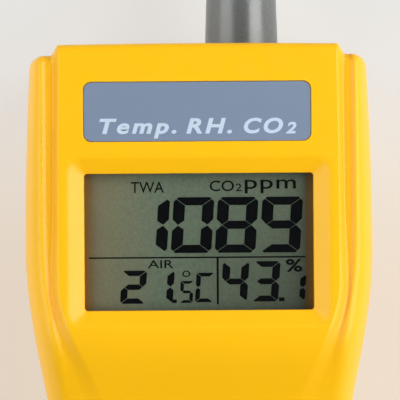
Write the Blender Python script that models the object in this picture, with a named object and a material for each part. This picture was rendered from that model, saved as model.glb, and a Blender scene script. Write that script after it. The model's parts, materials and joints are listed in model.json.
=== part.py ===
"""Handheld CO2, temperature and humidity monitor, lying on its back.

Metres. +Z is out of the display, +Y runs towards the probe, +X is to the reader's right.
The case rests on its flat back at z = 0 and is centred on the origin along its whole length.
"""

import math

import bpy

MM = 0.001

# Overall sizes
TOTAL_LENGTH = 205 * MM
BODY_LENGTH = 155.2 * MM
FACE_Z = 48 * MM
HANDLE_Z = 40.6 * MM
PARTING_Z = 24 * MM
PARTING_GAP = 0.15 * MM
WALL = 2.4 * MM
GAP = 0.3 * MM

BODY_BOTTOM = -TOTAL_LENGTH / 2
BODY_TOP = BODY_BOTTOM + BODY_LENGTH
PROBE_TIP = TOTAL_LENGTH / 2

# Outline of the case, seen from the front
HEAD_HALF = 34.97 * MM
HANDLE_HALF = 28.0 * MM
HEAD_WIDEST_Y = 12 * MM
WAIST_Y = -42 * MM
HEAD_TAPER = 0.82
SHOULDER_END = BODY_TOP - 2.2 * MM
TOP_CORNER = 2.2 * MM
BOTTOM_CORNER = 13 * MM
BLOCK_CROWN = 0.2 * MM

# Front surface: raised display block between two rounded side rails
CREASE_HALF = 27.4 * MM
CREASE_DROP = 9.5 * MM
CREASE_TAPER = 0.3
VALLEY_HALF = 29.3 * MM
VALLEY_DROP = 6.85 * MM
RIDGE_HALF = 30.75 * MM
RIDGE_DROP = 6.05 * MM
TAPER_START = 6 * MM
TAPER_RUN = 30.2 * MM
RIDGE_START = 14 * MM
RIDGE_RUN = 45 * MM
RIDGE_Z = 47.1 * MM
VALLEY_Z = 46.7 * MM
SLOPE_TOP = -2 * MM
SLOPE_RUN = 24 * MM
SIDE_Z = 33 * MM
BLOCK_EDGE = 1.6 * MM
RAIL_EDGE = 2.0 * MM
END_EDGE = 8.0 * MM

# Back surface
BACK_SIDE_Z = 10 * MM
BACK_ROUND = 9 * MM

# Display
WINDOW_Y = 13.7 * MM
WINDOW_HALF = (22.5 * MM, 13.45 * MM)
FRAME_HALF = (25.8 * MM, 16.75 * MM)
FRAME_DEPTH = 1.6 * MM
LENS_TOP = 45.2 * MM
LENS_THICK = 1.0 * MM
GLASS_HALF = (23.8 * MM, 15.0 * MM)
GLASS_TOP = 43.8 * MM
GLASS_THICK = 1.9 * MM
LIGHT_GUIDE_HALF = (22.6 * MM, 12.2 * MM)
LIGHT_GUIDE_THICK = 3.0 * MM
HOLDER_HALF = (24.8 * MM, 16 * MM)

# Label above the display
LABEL_X = -0.2 * MM
LABEL_Y = 39.25 * MM
LABEL_HALF = (22.3 * MM, 5.87 * MM)
LABEL_RADIUS = 1.6 * MM
LABEL_RECESS = 0.9 * MM
LABEL_THICK = 0.4 * MM

# Keypad: two columns, three rows
KEY_HALF = (6.6 * MM, 4.3 * MM)
KEY_COLUMNS = (-10.5 * MM, 10.5 * MM)
KEY_ROWS = (-40 * MM, -55 * MM, -70 * MM)
KEY_TOP = HANDLE_Z + 1.6 * MM
KEY_CLEARANCE = 0.35 * MM

# Boards
BOARD_BOTTOM = 33.5 * MM
BOARD_THICK = 1.2 * MM
BOARD_TOP = BOARD_BOTTOM + BOARD_THICK
BOARD_END = -87.5 * MM
MAT_THICK = 0.8 * MM

# Battery bay: four AA cells, two side by side in two layers
CELL_RADIUS = 7.15 * MM
CELL_LENGTH = 50 * MM
CELL_X = 7.4 * MM
CELL_LOW_Z = 9.75 * MM
CELL_STEP_Z = 14.9 * MM
BAY_BOTTOM = -81 * MM
BAY_TOP = -25 * MM
BAY_HALF = 15 * MM
BAY_WALL = 1.3 * MM
BAY_CEILING = 32.1 * MM
CONTACT_THICK = 0.4 * MM
CONTACT_BACK = 0.25 * MM
CELL_SHIFT = (BAY_TOP - BAY_BOTTOM - CELL_LENGTH) / 2 - CONTACT_THICK - CONTACT_BACK - GAP
SPRING_WIRE = 0.35 * MM
SPRING_TURNS = 2.5

# Battery door in the back
DOOR_HALF = 17.4 * MM
DOOR_BOTTOM = -88 * MM
DOOR_TOP = -22.5 * MM
DOOR_THICK = 1.4 * MM
DOOR_SCREW_Y = -85 * MM

# Probe
PROBE_X = 9.0 * MM
PROBE_Z = PARTING_Z
PROBE_BASE_RADIUS = 7.55 * MM
PROBE_TAPER = 0.035
CAP_START = 79 * MM
CAP_WALL = 1.5 * MM
FLANGE_RADIUS = 9.6 * MM
CAP_SLOTS = 6

# Fasteners
HEAD_SCREW = (24 * MM, 45.3 * MM)
FOOT_SCREW = (19.8 * MM, -93 * MM)
BOSS_RADIUS = 3.2 * MM
PILOT_RADIUS = 1.45 * MM
SCREW_HEAD_RADIUS = 2.7 * MM
SCREW_SEAT_Z = 15 * MM
SCREW_SHAFT_RADIUS = 1.3 * MM

# Sockets in the bottom end
DC_JACK_X = -8.0 * MM
PHONE_JACK_X = 6.5 * MM
JACK_Z = 28.6 * MM
COVER_HALF = (13.8 * MM, 4.4 * MM)
COVER_THICK = 1.1 * MM
COVER_POCKET = 1.4 * MM

YELLOW = (0.98, 0.55, 0.02)
DARK_GREY = (0.10, 0.10, 0.11)
BLUE_GREY = (0.22, 0.28, 0.40)


def smooth(t):
    """Ease from 0 to 1 with level ends."""
    t = min(max(t, 0.0), 1.0)
    return t * t * (3 - 2 * t)


def clear_scene():
    for item in list(bpy.data.objects):
        bpy.data.objects.remove(item, do_unlink=True)


def material(name, colour, roughness=0.5, metallic=0.0):
    """The named Principled material, made on first use."""
    made = bpy.data.materials.get(name)
    if made:
        return made
    made = bpy.data.materials.new(name)
    made.use_nodes = True
    shader = made.node_tree.nodes["Principled BSDF"]
    shader.inputs["Base Color"].default_value = (*colour, 1.0)
    shader.inputs["Roughness"].default_value = roughness
    shader.inputs["Metallic"].default_value = metallic
    return made


MATERIALS = {
    "case": (YELLOW, 0.42, 0.0),
    "rubber": (BLUE_GREY, 0.6, 0.0),
    "probe": (DARK_GREY, 0.5, 0.0),
    "label": (BLUE_GREY, 0.35, 0.0),
    "clear": ((0.85, 0.88, 0.86), 0.05, 0.0),
    "display": ((0.16, 0.20, 0.15), 0.2, 0.0),
    "white_plastic": ((0.80, 0.80, 0.78), 0.45, 0.0),
    "board": ((0.02, 0.20, 0.09), 0.4, 0.0),
    "chip": ((0.03, 0.03, 0.03), 0.45, 0.0),
    "steel": ((0.62, 0.62, 0.64), 0.3, 1.0),
    "foam": ((0.12, 0.12, 0.13), 0.9, 0.0),
    "brass": ((0.72, 0.55, 0.26), 0.3, 1.0),
    "cell_wrap": ((0.05, 0.12, 0.32), 0.35, 0.0),
    "red_wire": ((0.60, 0.03, 0.03), 0.5, 0.0),
    "black_wire": ((0.02, 0.02, 0.02), 0.5, 0.0),
}


def finish(item, slot):
    """Give an object its material, and smooth shading except across its edges."""
    item.data.materials.clear()
    item.data.materials.append(material(slot, *MATERIALS[slot]))
    if item.type == "MESH" and item.data.polygons:
        item.data.shade_smooth()
        item.data.set_sharp_from_angle(angle=math.radians(35))
    return item


def mesh_object(name, points, faces, location=(0, 0, 0)):
    data = bpy.data.meshes.new(name)
    data.from_pydata(points, [], faces)
    data.update()
    item = bpy.data.objects.new(name, data)
    item.location = location
    bpy.context.collection.objects.link(item)
    return item


def lofted(name, rings, location=(0, 0, 0)):
    """A closed solid through rings of points, each counterclockwise about the way they advance."""
    count = len(rings[0])
    points = [tuple(p) for ring in rings for p in ring]
    faces = [tuple(reversed(range(count)))]
    for level in range(len(rings) - 1):
        low = level * count
        high = low + count
        for i in range(count):
            j = (i + 1) % count
            faces.append((low + i, low + j, high + j, high + i))
    faces.append(tuple(range(len(points) - count, len(points))))
    return mesh_object(name, points, faces, location)


def stacked(name, layers, location=(0, 0, 0)):
    """A solid of flat outlines stacked along z: layers are (outline, z) from the bottom up."""
    return lofted(name, [[(x, y, z) for x, y in outline] for outline, z in layers], location)


def rounded_rect(half, radius, steps=3):
    """Outline of a rectangle with round corners, counterclockwise, centred on 0."""
    outline = []
    for quarter in range(4):
        sx = 1 if quarter in (0, 3) else -1
        sy = 1 if quarter in (0, 1) else -1
        for step in range(steps + 1):
            angle = math.pi / 2 * (quarter + step / steps)
            outline.append(
                (
                    sx * (half[0] - radius) + radius * math.cos(angle),
                    sy * (half[1] - radius) + radius * math.sin(angle),
                )
            )
    return outline


def circle(radius, steps=20):
    turn = 2 * math.pi / steps
    return [(radius * math.cos(i * turn), radius * math.sin(i * turn)) for i in range(steps)]


def box(name, slot, low, high, bevel=0.0):
    """A box between two corners, with its own origin at its middle and bevelled edges."""
    middle = [(a + b) / 2 for a, b in zip(low, high)]
    half = [(b - a) / 2 for a, b in zip(low, high)]
    outline = [(half[0], -half[1]), (half[0], half[1]), (-half[0], half[1]), (-half[0], -half[1])]
    made = stacked(name, [(outline, -half[2]), (outline, half[2])], middle)
    if bevel:
        edge = made.modifiers.new("edges", "BEVEL")
        edge.width = bevel
        edge.segments = 1
    return finish(made, slot)


def turned(name, slot, profile, steps=24, location=(0, 0, 0), along_y=False):
    """A turned solid: profile points are (radius, height) down its outer side from the top."""
    data = bpy.data.meshes.new(name)
    edges = [(i, i + 1) for i in range(len(profile) - 1)]
    data.from_pydata([(radius, 0, height) for radius, height in profile], edges, [])
    item = bpy.data.objects.new(name, data)
    bpy.context.collection.objects.link(item)
    item.location = location
    if along_y:
        item.rotation_euler = (-math.pi / 2, 0, 0)
    spin = item.modifiers.new("turn", "SCREW")
    spin.steps = steps
    spin.render_steps = steps
    spin.use_merge_vertices = True
    spin.merge_threshold = 0.00001
    spin.use_smooth_shade = True
    finish(item, slot)
    return item


def hidden(item):
    """Mark a helper shape, so that it stays out of the model."""
    item.hide_render = True
    item.display_type = "WIRE"
    return item


def combine(target, tool, operation):
    step = target.modifiers.new(operation.lower(), "BOOLEAN")
    step.operation = operation
    step.solver = "EXACT"
    step.object = hidden(tool)
    return target


def cut(target, tool):
    return combine(target, tool, "DIFFERENCE")


def add(target, tool):
    return combine(target, tool, "UNION")


# ---- The case surface ---------------------------------------------------------------------


def case_half_width(y):
    """Half the case's width at y, before its end corners: a head that eases into the handle."""
    if y > HEAD_WIDEST_Y:
        return HEAD_HALF - HEAD_TAPER * (y - HEAD_WIDEST_Y) ** 2
    ease = smooth((y - WAIST_Y) / (HEAD_WIDEST_Y - WAIST_Y))
    return HANDLE_HALF + (HEAD_HALF - HANDLE_HALF) * ease


def corner_loss(distance, radius):
    """How far a round corner draws in at this distance from the end it leads to."""
    if distance >= radius:
        return 0.0
    return radius - math.sqrt(max(radius**2 - (radius - distance) ** 2, 0.0))


def front_profile(y, inset, arc_steps):
    """Half of the front's section at y: (x, z, share of the block) from the parting line to the middle."""
    half = case_half_width(y)
    taper = smooth((TAPER_START - y) / TAPER_RUN)
    ridge_x = RIDGE_HALF - RIDGE_DROP * smooth((RIDGE_START - y) / RIDGE_RUN)
    valley_x = VALLEY_HALF - VALLEY_DROP * taper
    crease_x = CREASE_HALF - CREASE_DROP * taper - CREASE_TAPER * max(y - HEAD_WIDEST_Y, 0) ** 2
    slope = smooth((SLOPE_TOP - y) / SLOPE_RUN)
    face_z = FACE_Z + (HANDLE_Z - FACE_Z) * slope
    ridge_z = RIDGE_Z + (HANDLE_Z - 0.6 * MM - RIDGE_Z) * slope
    valley_z = VALLEY_Z + (HANDLE_Z - 0.2 * MM - VALLEY_Z) * slope
    rows = []
    for step in range(arc_steps + 1):
        angle = math.pi / 2 * step / arc_steps
        x = ridge_x + (half - ridge_x) * math.cos(angle)
        z = SIDE_Z + (ridge_z - SIDE_Z) * math.sin(angle)
        rows.append((x, z, 0.0))
    rows.append(((ridge_x + valley_x) / 2, (ridge_z + valley_z) / 2, 0.0))
    for step in range(arc_steps + 1):
        share = step / arc_steps
        x = valley_x + (crease_x - valley_x) * share
        z = valley_z + (face_z - valley_z) * smooth(share)
        rows.append((x, z, smooth((share - 0.1) / 0.75)))
    rows.append((crease_x / 2, face_z, 1.0))
    rows.append((0.0, face_z, 1.0))
    return [(max(x - inset, 0.0), z - inset, block) for x, z, block in rows]


def back_profile(y, inset, arc_steps):
    """Half of the back's section at y, from the parting line to the middle."""
    half = case_half_width(y)
    rows = []
    for step in range(arc_steps + 1):
        angle = math.pi / 2 * step / arc_steps
        x = half - BACK_ROUND + BACK_ROUND * math.cos(angle)
        z = BACK_SIDE_Z - BACK_SIDE_Z * math.sin(angle)
        block = smooth((CREASE_HALF + 1.6 * MM - x) / (1.7 * MM))
        rows.append((x, z, block))
    rows.append((half / 3, 0.0, 1.0))
    rows.append((0.0, 0.0, 1.0))
    return [(max(x - inset, 0.0), z + inset, block) for x, z, block in rows]


def row_places(inset, corner_steps, middle_steps):
    """(y, distance to the bottom end, share along the top corner) for each row, bottom to top."""
    bottom = BODY_BOTTOM + inset
    radius = BOTTOM_CORNER - inset
    places = []
    for step in range(corner_steps + 1):
        angle = math.pi / 2 * step / corner_steps
        reach = radius * (1 - math.cos(angle))
        places.append((bottom + reach, reach, 0.0))
    places.append((WAIST_Y, radius, 0.0))
    run = HEAD_WIDEST_Y - WAIST_Y
    for step in range(1, middle_steps + 1):
        places.append((WAIST_Y + run * step / middle_steps, radius, 0.0))
    last = SHOULDER_END - TOP_CORNER
    places.append(((HEAD_WIDEST_Y + last) / 2, radius, 0.0))
    for step in range(4):
        places.append((last, radius, step / 3))
    return places


def case_grid(profile, edge_z, inset, arc_steps=5, corner_steps=7, middle_steps=14):
    """Rows of points over one half of the case, each from its right edge to its left edge."""
    grid = []
    top_corner = TOP_CORNER - inset / 2
    for y, from_end, turn in row_places(inset, corner_steps, middle_steps):
        half = case_half_width(y) - inset
        loss = corner_loss(from_end, BOTTOM_CORNER - inset)
        end_drop = corner_loss(from_end * END_EDGE / BOTTOM_CORNER, END_EDGE)
        angle = math.pi / 2 * turn
        corner = top_corner * (1 - math.cos(angle))
        row = []
        for x, z, block in profile(y, inset, arc_steps):
            near_side = x / half
            end_y = SHOULDER_END + (BODY_TOP - BLOCK_CROWN * (x / CREASE_HALF) ** 2 - SHOULDER_END) * block
            reach = end_y - inset - y
            place_y = y + reach * math.sin(angle)
            rounding = RAIL_EDGE + (BLOCK_EDGE - RAIL_EDGE) * block
            drop = corner_loss(reach * (1 - math.sin(angle)), rounding) + end_drop
            new_z = max(z - drop, edge_z) if z > edge_z else min(z + drop, edge_z)
            on_rail = min(max((x + inset - VALLEY_HALF) / (half + inset - VALLEY_HALF), 0.0), 1.0)
            row.append((x - loss * near_side - corner * on_rail, place_y, new_z))
        edge = (row[0][0], row[0][1], edge_z)
        right = [edge] + row
        left = [(-x, py, pz) for x, py, pz in reversed(right[:-1])]
        grid.append(right + left)
    for end in (0, -1):
        wall = [(x, py, edge_z) for x, py, _ in grid[end]]
        if end == 0:
            grid.insert(0, wall)
        else:
            grid.append(wall)
    return grid


def grid_faces(rows, columns, start, flip):
    faces = []
    for i in range(rows - 1):
        for j in range(columns - 1):
            a = start + i * columns + j
            face = (a, a + 1, a + 1 + columns, a + columns)
            faces.append(tuple(reversed(face)) if flip else face)
    return faces


def rim(rows, columns):
    """Indices round a grid's edge, in order."""
    bottom = list(range(columns - 1))
    right = [i * columns + columns - 1 for i in range(rows - 1)]
    top = [(rows - 1) * columns + j for j in range(columns - 1, 0, -1)]
    left = [i * columns for i in range(rows - 1, 0, -1)]
    return bottom + right + top + left


def case_shell(name, profile, edge_z, facing_up):
    """A bowl of even wall from one half of the case surface."""
    outer = case_grid(profile, edge_z, 0.0)
    inner = case_grid(profile, edge_z, WALL)
    rows = len(outer)
    columns = len(outer[0])
    points = [p for row in outer for p in row] + [p for row in inner for p in row]
    start = rows * columns
    faces = grid_faces(rows, columns, 0, facing_up)
    faces += grid_faces(rows, columns, start, not facing_up)
    loop = rim(rows, columns)
    for a, b in zip(loop, loop[1:] + loop[:1]):
        face = (a, start + a, start + b, b)
        faces.append(tuple(reversed(face)) if facing_up else face)
    made = mesh_object(name, points, faces)
    weld = made.modifiers.new("weld", "WELD")
    weld.merge_threshold = 0.000002
    return made


def case_core(name, profile, edge_z, facing_up):
    """The solid inside the case's outer skin, used to trim what stands on the inside."""
    grid = case_grid(profile, edge_z, 0.8 * MM)
    rows = len(grid)
    columns = len(grid[0])
    faces = grid_faces(rows, columns, 0, facing_up)
    lid = rim(rows, columns)
    faces.append(tuple(lid) if facing_up else tuple(reversed(lid)))
    made = mesh_object(name, [p for row in grid for p in row], faces)
    weld = made.modifiers.new("weld", "WELD")
    weld.merge_threshold = 0.000002
    return hidden(made)


def tool_box(name, low, high):
    return hidden(box(name, "case", low, high))


def tool_pin(name, radius, low, high, steps=16):
    """A vertical round tool between two points on one axis."""
    ring = circle(radius, steps)
    return hidden(stacked(name, [(ring, low[2]), (ring, high[2])], (low[0], low[1], 0)))


def tool_bore_y(name, radius, x, z, y0, y1, steps=20):
    """A round tool along y."""
    made = turned(name, "case", [(0, y1), (radius, y1), (radius, y0), (0, y0)], steps, (x, 0, z), True)
    return hidden(made)


def case_screw_places():
    """The four case screws: (name, x, y)."""
    return [
        ("head_right", HEAD_SCREW[0], HEAD_SCREW[1]),
        ("head_left", -HEAD_SCREW[0], HEAD_SCREW[1]),
        ("foot_right", FOOT_SCREW[0], FOOT_SCREW[1]),
        ("foot_left", -FOOT_SCREW[0], FOOT_SCREW[1]),
    ]


def key_places():
    """(name, x, y) for each key."""
    places = []
    for row, y in enumerate(KEY_ROWS):
        for side, x in zip(("left", "right"), KEY_COLUMNS):
            places.append((f"key_{side}_{row + 1}", x, y))
    return places


def front_shell():
    edge_z = PARTING_Z + PARTING_GAP
    shell = case_shell("front_shell", front_profile, edge_z, True)
    core = case_core("front_core", front_profile, edge_z, True)
    for name, x, y in case_screw_places():
        boss = tool_pin(f"boss_{name}", BOSS_RADIUS, (x, y, edge_z), (x, y, FACE_Z))
        add(shell, combine(boss, core, "INTERSECT"))
        low = (x, y, PARTING_Z - 1 * MM)
        cut(shell, tool_pin(f"pilot_{name}", PILOT_RADIUS, low, (x, y, PARTING_Z + 11 * MM), 12))
    frame_top = FACE_Z + 0.2 * MM
    slope = (FRAME_HALF[0] - WINDOW_HALF[0]) / FRAME_DEPTH * 0.2 * MM
    outer = rounded_rect((FRAME_HALF[0] + slope, FRAME_HALF[1] + slope), 2.8 * MM)
    inner = rounded_rect(WINDOW_HALF, 0.6 * MM)
    layers = [(inner, FACE_Z - 4 * MM), (inner, FACE_Z - FRAME_DEPTH), (outer, frame_top)]
    cut(shell, stacked("window_tool", layers, (0, WINDOW_Y, 0)))
    outline = rounded_rect(LABEL_HALF, LABEL_RADIUS)
    layers = [(outline, FACE_Z - LABEL_RECESS), (outline, FACE_Z + 1 * MM)]
    cut(shell, stacked("label_tool", layers, (LABEL_X, LABEL_Y, 0)))
    hole = rounded_rect([side + KEY_CLEARANCE for side in KEY_HALF], KEY_HALF[1], 3)
    for name, x, y in key_places():
        layers = [(hole, HANDLE_Z - 4 * MM), (hole, HANDLE_Z + 2 * MM)]
        cut(shell, stacked(f"hole_{name}", layers, (x, y, 0)))
    cut(shell, probe_bore("front_probe_bore"))
    pocket = [side + GAP for side in COVER_HALF]
    low = (-pocket[0], BODY_BOTTOM - 1 * MM, JACK_Z - pocket[1])
    high = (pocket[0], BODY_BOTTOM + COVER_POCKET, JACK_Z + pocket[1])
    cut(shell, tool_box("cover_pocket", low, high))
    for name, x, radius in (("dc", DC_JACK_X, 3.6 * MM), ("phone", PHONE_JACK_X, 3.2 * MM)):
        hole = (BODY_BOTTOM - 1 * MM, BODY_BOTTOM + 4 * MM)
        cut(shell, tool_bore_y(f"{name}_socket_bore", radius, x, JACK_Z, *hole, 16))
    return finish(shell, "case")


def probe_bore(name):
    radius = PROBE_BASE_RADIUS + GAP
    return tool_bore_y(name, radius, PROBE_X, PROBE_Z, BODY_TOP - 5 * MM, BODY_TOP + 2 * MM, 24)


def rear_shell():
    edge_z = PARTING_Z - PARTING_GAP
    shell = case_shell("rear_shell", back_profile, edge_z, False)
    core = case_core("rear_core", back_profile, edge_z, False)
    for name, x, y in case_screw_places():
        tube = tool_pin(f"tube_{name}", BOSS_RADIUS + 0.8 * MM, (x, y, 0), (x, y, edge_z))
        add(shell, combine(tube, core, "INTERSECT"))
        well = SCREW_HEAD_RADIUS + 0.3 * MM
        cut(shell, tool_pin(f"well_{name}", well, (x, y, -1 * MM), (x, y, SCREW_SEAT_Z)))
        hole = SCREW_SHAFT_RADIUS + 0.3 * MM
        cut(shell, tool_pin(f"shank_{name}", hole, (x, y, 10 * MM), (x, y, PARTING_Z + 1 * MM), 12))
    clearance = 0.25 * MM
    seat = DOOR_HALF + clearance
    low = (-seat, DOOR_BOTTOM - clearance, -1 * MM)
    cut(shell, tool_box("door_seat", low, (seat, DOOR_TOP + clearance, DOOR_THICK + 0.4 * MM)))
    low = (-BAY_HALF - 0.4 * MM, BAY_BOTTOM, -1 * MM)
    cut(shell, tool_box("bay_opening", low, (BAY_HALF + 0.4 * MM, BAY_TOP, WALL + 1 * MM)))
    pillar = tool_pin("door_pillar", 2.4 * MM, (0, DOOR_SCREW_Y, 2 * MM), (0, DOOR_SCREW_Y, 11 * MM))
    add(shell, pillar)
    cut(shell, tool_pin("door_pilot", 1.25 * MM, (0, DOOR_SCREW_Y, 0), (0, DOOR_SCREW_Y, 9 * MM), 12))
    for step in range(5):
        y = 14 * MM + step * 5 * MM
        cut(shell, tool_box(f"vent_{step}", (-9 * MM, y, -1 * MM), (9 * MM, y + 2 * MM, WALL + 1 * MM)))
    for step in range(3):
        x = 9 * MM + step * 3 * MM
        low = (x, -16 * MM, -1 * MM)
        cut(shell, tool_box(f"sound_{step}", low, (x + 1.2 * MM, -8 * MM, WALL + 1 * MM)))
    cut(shell, probe_bore("rear_probe_bore"))
    return finish(shell, "case")


# ---- Display and label --------------------------------------------------------------------


def label_plate():
    outline = rounded_rect([side - 0.15 * MM for side in LABEL_HALF], LABEL_RADIUS)
    bottom = FACE_Z - LABEL_RECESS + GAP
    layers = [(outline, 0), (outline, LABEL_THICK)]
    return finish(stacked("label_plate", layers, (LABEL_X, LABEL_Y, bottom)), "label")


def display_lens():
    outline = rounded_rect((HOLDER_HALF[0] - 0.6 * MM, HOLDER_HALF[1] - 1.3 * MM), 2 * MM)
    layers = [(outline, 0), (outline, LENS_THICK)]
    return finish(stacked("display_lens", layers, (0, WINDOW_Y, LENS_TOP - LENS_THICK)), "clear")


def lcd_glass():
    z = GLASS_TOP - GLASS_THICK
    low = (-GLASS_HALF[0], WINDOW_Y - GLASS_HALF[1], z)
    return box("lcd_glass", "display", low, (GLASS_HALF[0], WINDOW_Y + GLASS_HALF[1], GLASS_TOP))


def light_guide():
    top = GLASS_TOP - GLASS_THICK - GAP
    low = (-LIGHT_GUIDE_HALF[0], WINDOW_Y - LIGHT_GUIDE_HALF[1], top - LIGHT_GUIDE_THICK)
    high = (LIGHT_GUIDE_HALF[0], WINDOW_Y + LIGHT_GUIDE_HALF[1], top)
    return box("backlight_panel", "white_plastic", low, high, 0.3 * MM)


def display_holder():
    """A frame round the glass, open through the middle, standing on the main board."""
    bottom = BOARD_TOP + GAP
    outline = rounded_rect(HOLDER_HALF, 2.5 * MM)
    holder = stacked("display_holder", [(outline, bottom), (outline, GLASS_TOP)], (0, WINDOW_Y, 0))
    finish(holder, "white_plastic")
    glass = [side + GAP / 2 for side in GLASS_HALF]
    low = (-glass[0], WINDOW_Y - glass[1], bottom - 1 * MM)
    cut(holder, tool_box("holder_pocket", low, (glass[0], WINDOW_Y + glass[1], GLASS_TOP + 1 * MM)))
    return holder


def contact_strip(name, side):
    """The rubber connector between the board and one long edge of the glass."""
    y = WINDOW_Y + side * (GLASS_HALF[1] - 1.2 * MM)
    low = (-21 * MM, y - 0.9 * MM, BOARD_TOP + GAP)
    return box(name, "foam", low, (21 * MM, y + 0.9 * MM, GLASS_TOP - GLASS_THICK - GAP))


# ---- Keypad -------------------------------------------------------------------------------


def key(name, x, y):
    """A rubber key: a flange under the case and an oval cap with a domed top."""
    shell_inside = HANDLE_Z - WALL
    flange_top = shell_inside - GAP
    flange = rounded_rect([side + 1 * MM for side in KEY_HALF], KEY_HALF[1] + 0.9 * MM)
    cap = rounded_rect(KEY_HALF, KEY_HALF[1] - 0.05 * MM)
    brow = rounded_rect([side - 0.5 * MM for side in KEY_HALF], KEY_HALF[1] - 0.6 * MM)
    crown = rounded_rect([side - 1.6 * MM for side in KEY_HALF], KEY_HALF[1] - 1.7 * MM)
    layers = [
        (flange, flange_top - 0.8 * MM),
        (flange, flange_top),
        (cap, flange_top),
        (cap, KEY_TOP - 0.7 * MM),
        (brow, KEY_TOP - 0.2 * MM),
        (crown, KEY_TOP),
    ]
    return finish(stacked(name, layers, (x, y, 0)), "rubber")


def keypad_mat():
    low = (-19 * MM, KEY_ROWS[-1] - 7 * MM, BOARD_TOP + GAP)
    high = (19 * MM, KEY_ROWS[0] + 7 * MM, BOARD_TOP + GAP + MAT_THICK)
    return box("keypad_mat", "rubber", low, high, 0.2 * MM)


# ---- Boards and electronics ---------------------------------------------------------------


def main_board():
    """One board under the display and the keys, wide in the head and narrow in the handle."""
    half_outline = [
        (22.5 * MM, BOARD_END),
        (24 * MM, BOARD_END + 2 * MM),
        (24 * MM, -34 * MM),
        (29.5 * MM, 0),
        (29.5 * MM, 38 * MM),
        (27.5 * MM, 40.5 * MM),
    ]
    outline = half_outline + [(-x, y) for x, y in reversed(half_outline)]
    layers = [(outline, BOARD_BOTTOM), (outline, BOARD_TOP)]
    return finish(stacked("main_board", layers), "board")


def under_board(name, slot, low, high, height, bevel=0.0):
    """A component soldered under the main board: its corners in plan, and how far it hangs down."""
    top = BOARD_BOTTOM - GAP
    return box(name, slot, (*low, top - height), (*high, top), bevel)


def buzzer():
    top = BOARD_BOTTOM - GAP
    radius = 6 * MM
    profile = [(0, 0), (radius, 0), (radius, -7.6 * MM), (radius - 0.6 * MM, -8.2 * MM)]
    profile += [(1.4 * MM, -8.2 * MM), (1.4 * MM, -7 * MM), (0, -7 * MM)]
    return turned("buzzer", "chip", profile, 20, (13 * MM, -13 * MM, top))


def gas_sensor():
    """The infrared gas cell on its own small board behind the vents."""
    low = (-17 * MM, 13 * MM, 5.2 * MM)
    box("co2_gas_cell", "brass", low, (17 * MM, 35 * MM, 17 * MM), 1.5 * MM)
    low = (-21 * MM, 9 * MM, 17.3 * MM)
    box("co2_sensor_board", "board", low, (21 * MM, 39 * MM, 18.9 * MM))
    top = BOARD_BOTTOM - GAP
    low = (-12 * MM, 9.8 * MM, 18.9 * MM + GAP)
    box("co2_header", "chip", low, (12 * MM, 12.3 * MM, top))
    low = (-13 * MM, 11 * MM, WALL + GAP)
    box("vent_filter", "foam", low, (13 * MM, 37 * MM, 4.9 * MM))


def jack(name, x, half, bore, pin):
    """A socket block on the board's lower end, with its bore facing out."""
    front = BODY_BOTTOM + WALL + 2 * MM
    back = BAY_BOTTOM - BAY_WALL - GAP
    low = (x - half, front, JACK_Z - half)
    block = box(name, "chip", low, (x + half, back, BOARD_BOTTOM - GAP), 0.3 * MM)
    cut(block, tool_bore_y(f"{name}_bore", bore, x, JACK_Z, front - 1 * MM, front + 9 * MM, 16))
    if pin:
        add(block, tool_bore_y(f"{name}_pin", pin, x, JACK_Z, front + 1 * MM, front + 10 * MM, 10))
    return block


def jack_cover():
    """The rubber flap over both sockets, hinged along its lower edge."""
    outline = rounded_rect(COVER_HALF, 1.5 * MM)
    rings = []
    for depth in (COVER_THICK, 0):
        rings.append([(x, depth, z + COVER_HALF[1]) for x, z in outline])
    hinge = (0, BODY_BOTTOM, JACK_Z - COVER_HALF[1])
    return finish(lofted("jack_cover", rings, hinge), "rubber")


# ---- Power --------------------------------------------------------------------------------


def battery_holder():
    """A box over the cells, open towards the back."""
    outer = BAY_HALF + BAY_WALL
    low = (-outer, BAY_BOTTOM - BAY_WALL, WALL + GAP)
    top = BAY_CEILING + BAY_WALL - 0.2 * MM
    holder = box("battery_holder", "chip", low, (outer, BAY_TOP + BAY_WALL, top))
    low = (-BAY_HALF, BAY_BOTTOM, WALL - 1 * MM)
    cut(holder, tool_box("holder_inside", low, (BAY_HALF, BAY_TOP, BAY_CEILING)))
    return holder


def cell_places():
    """(name, x, z, way the raised end faces) for each cell."""
    high = CELL_LOW_Z + CELL_STEP_Z
    return [
        ("cell_outer_left", -CELL_X, CELL_LOW_Z, 1),
        ("cell_outer_right", CELL_X, CELL_LOW_Z, -1),
        ("cell_inner_left", -CELL_X, high, -1),
        ("cell_inner_right", CELL_X, high, 1),
    ]


def cell(name, x, z, way):
    middle = (BAY_BOTTOM + BAY_TOP) / 2 + way * CELL_SHIFT
    half = CELL_LENGTH / 2
    can = half - 1.2 * MM
    nub = 2.7 * MM
    profile = [
        (0, half),
        (nub, half),
        (nub, can),
        (CELL_RADIUS - 0.5 * MM, can),
        (CELL_RADIUS, can - 0.5 * MM),
        (CELL_RADIUS, 0.5 * MM - half),
        (CELL_RADIUS - 0.5 * MM, -half),
        (0, -half),
    ]
    made = turned(name, "cell_wrap", profile, 20, (x, middle, z), True)
    if way < 0:
        made.rotation_euler = (math.pi / 2, 0, 0)
    return made


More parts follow.
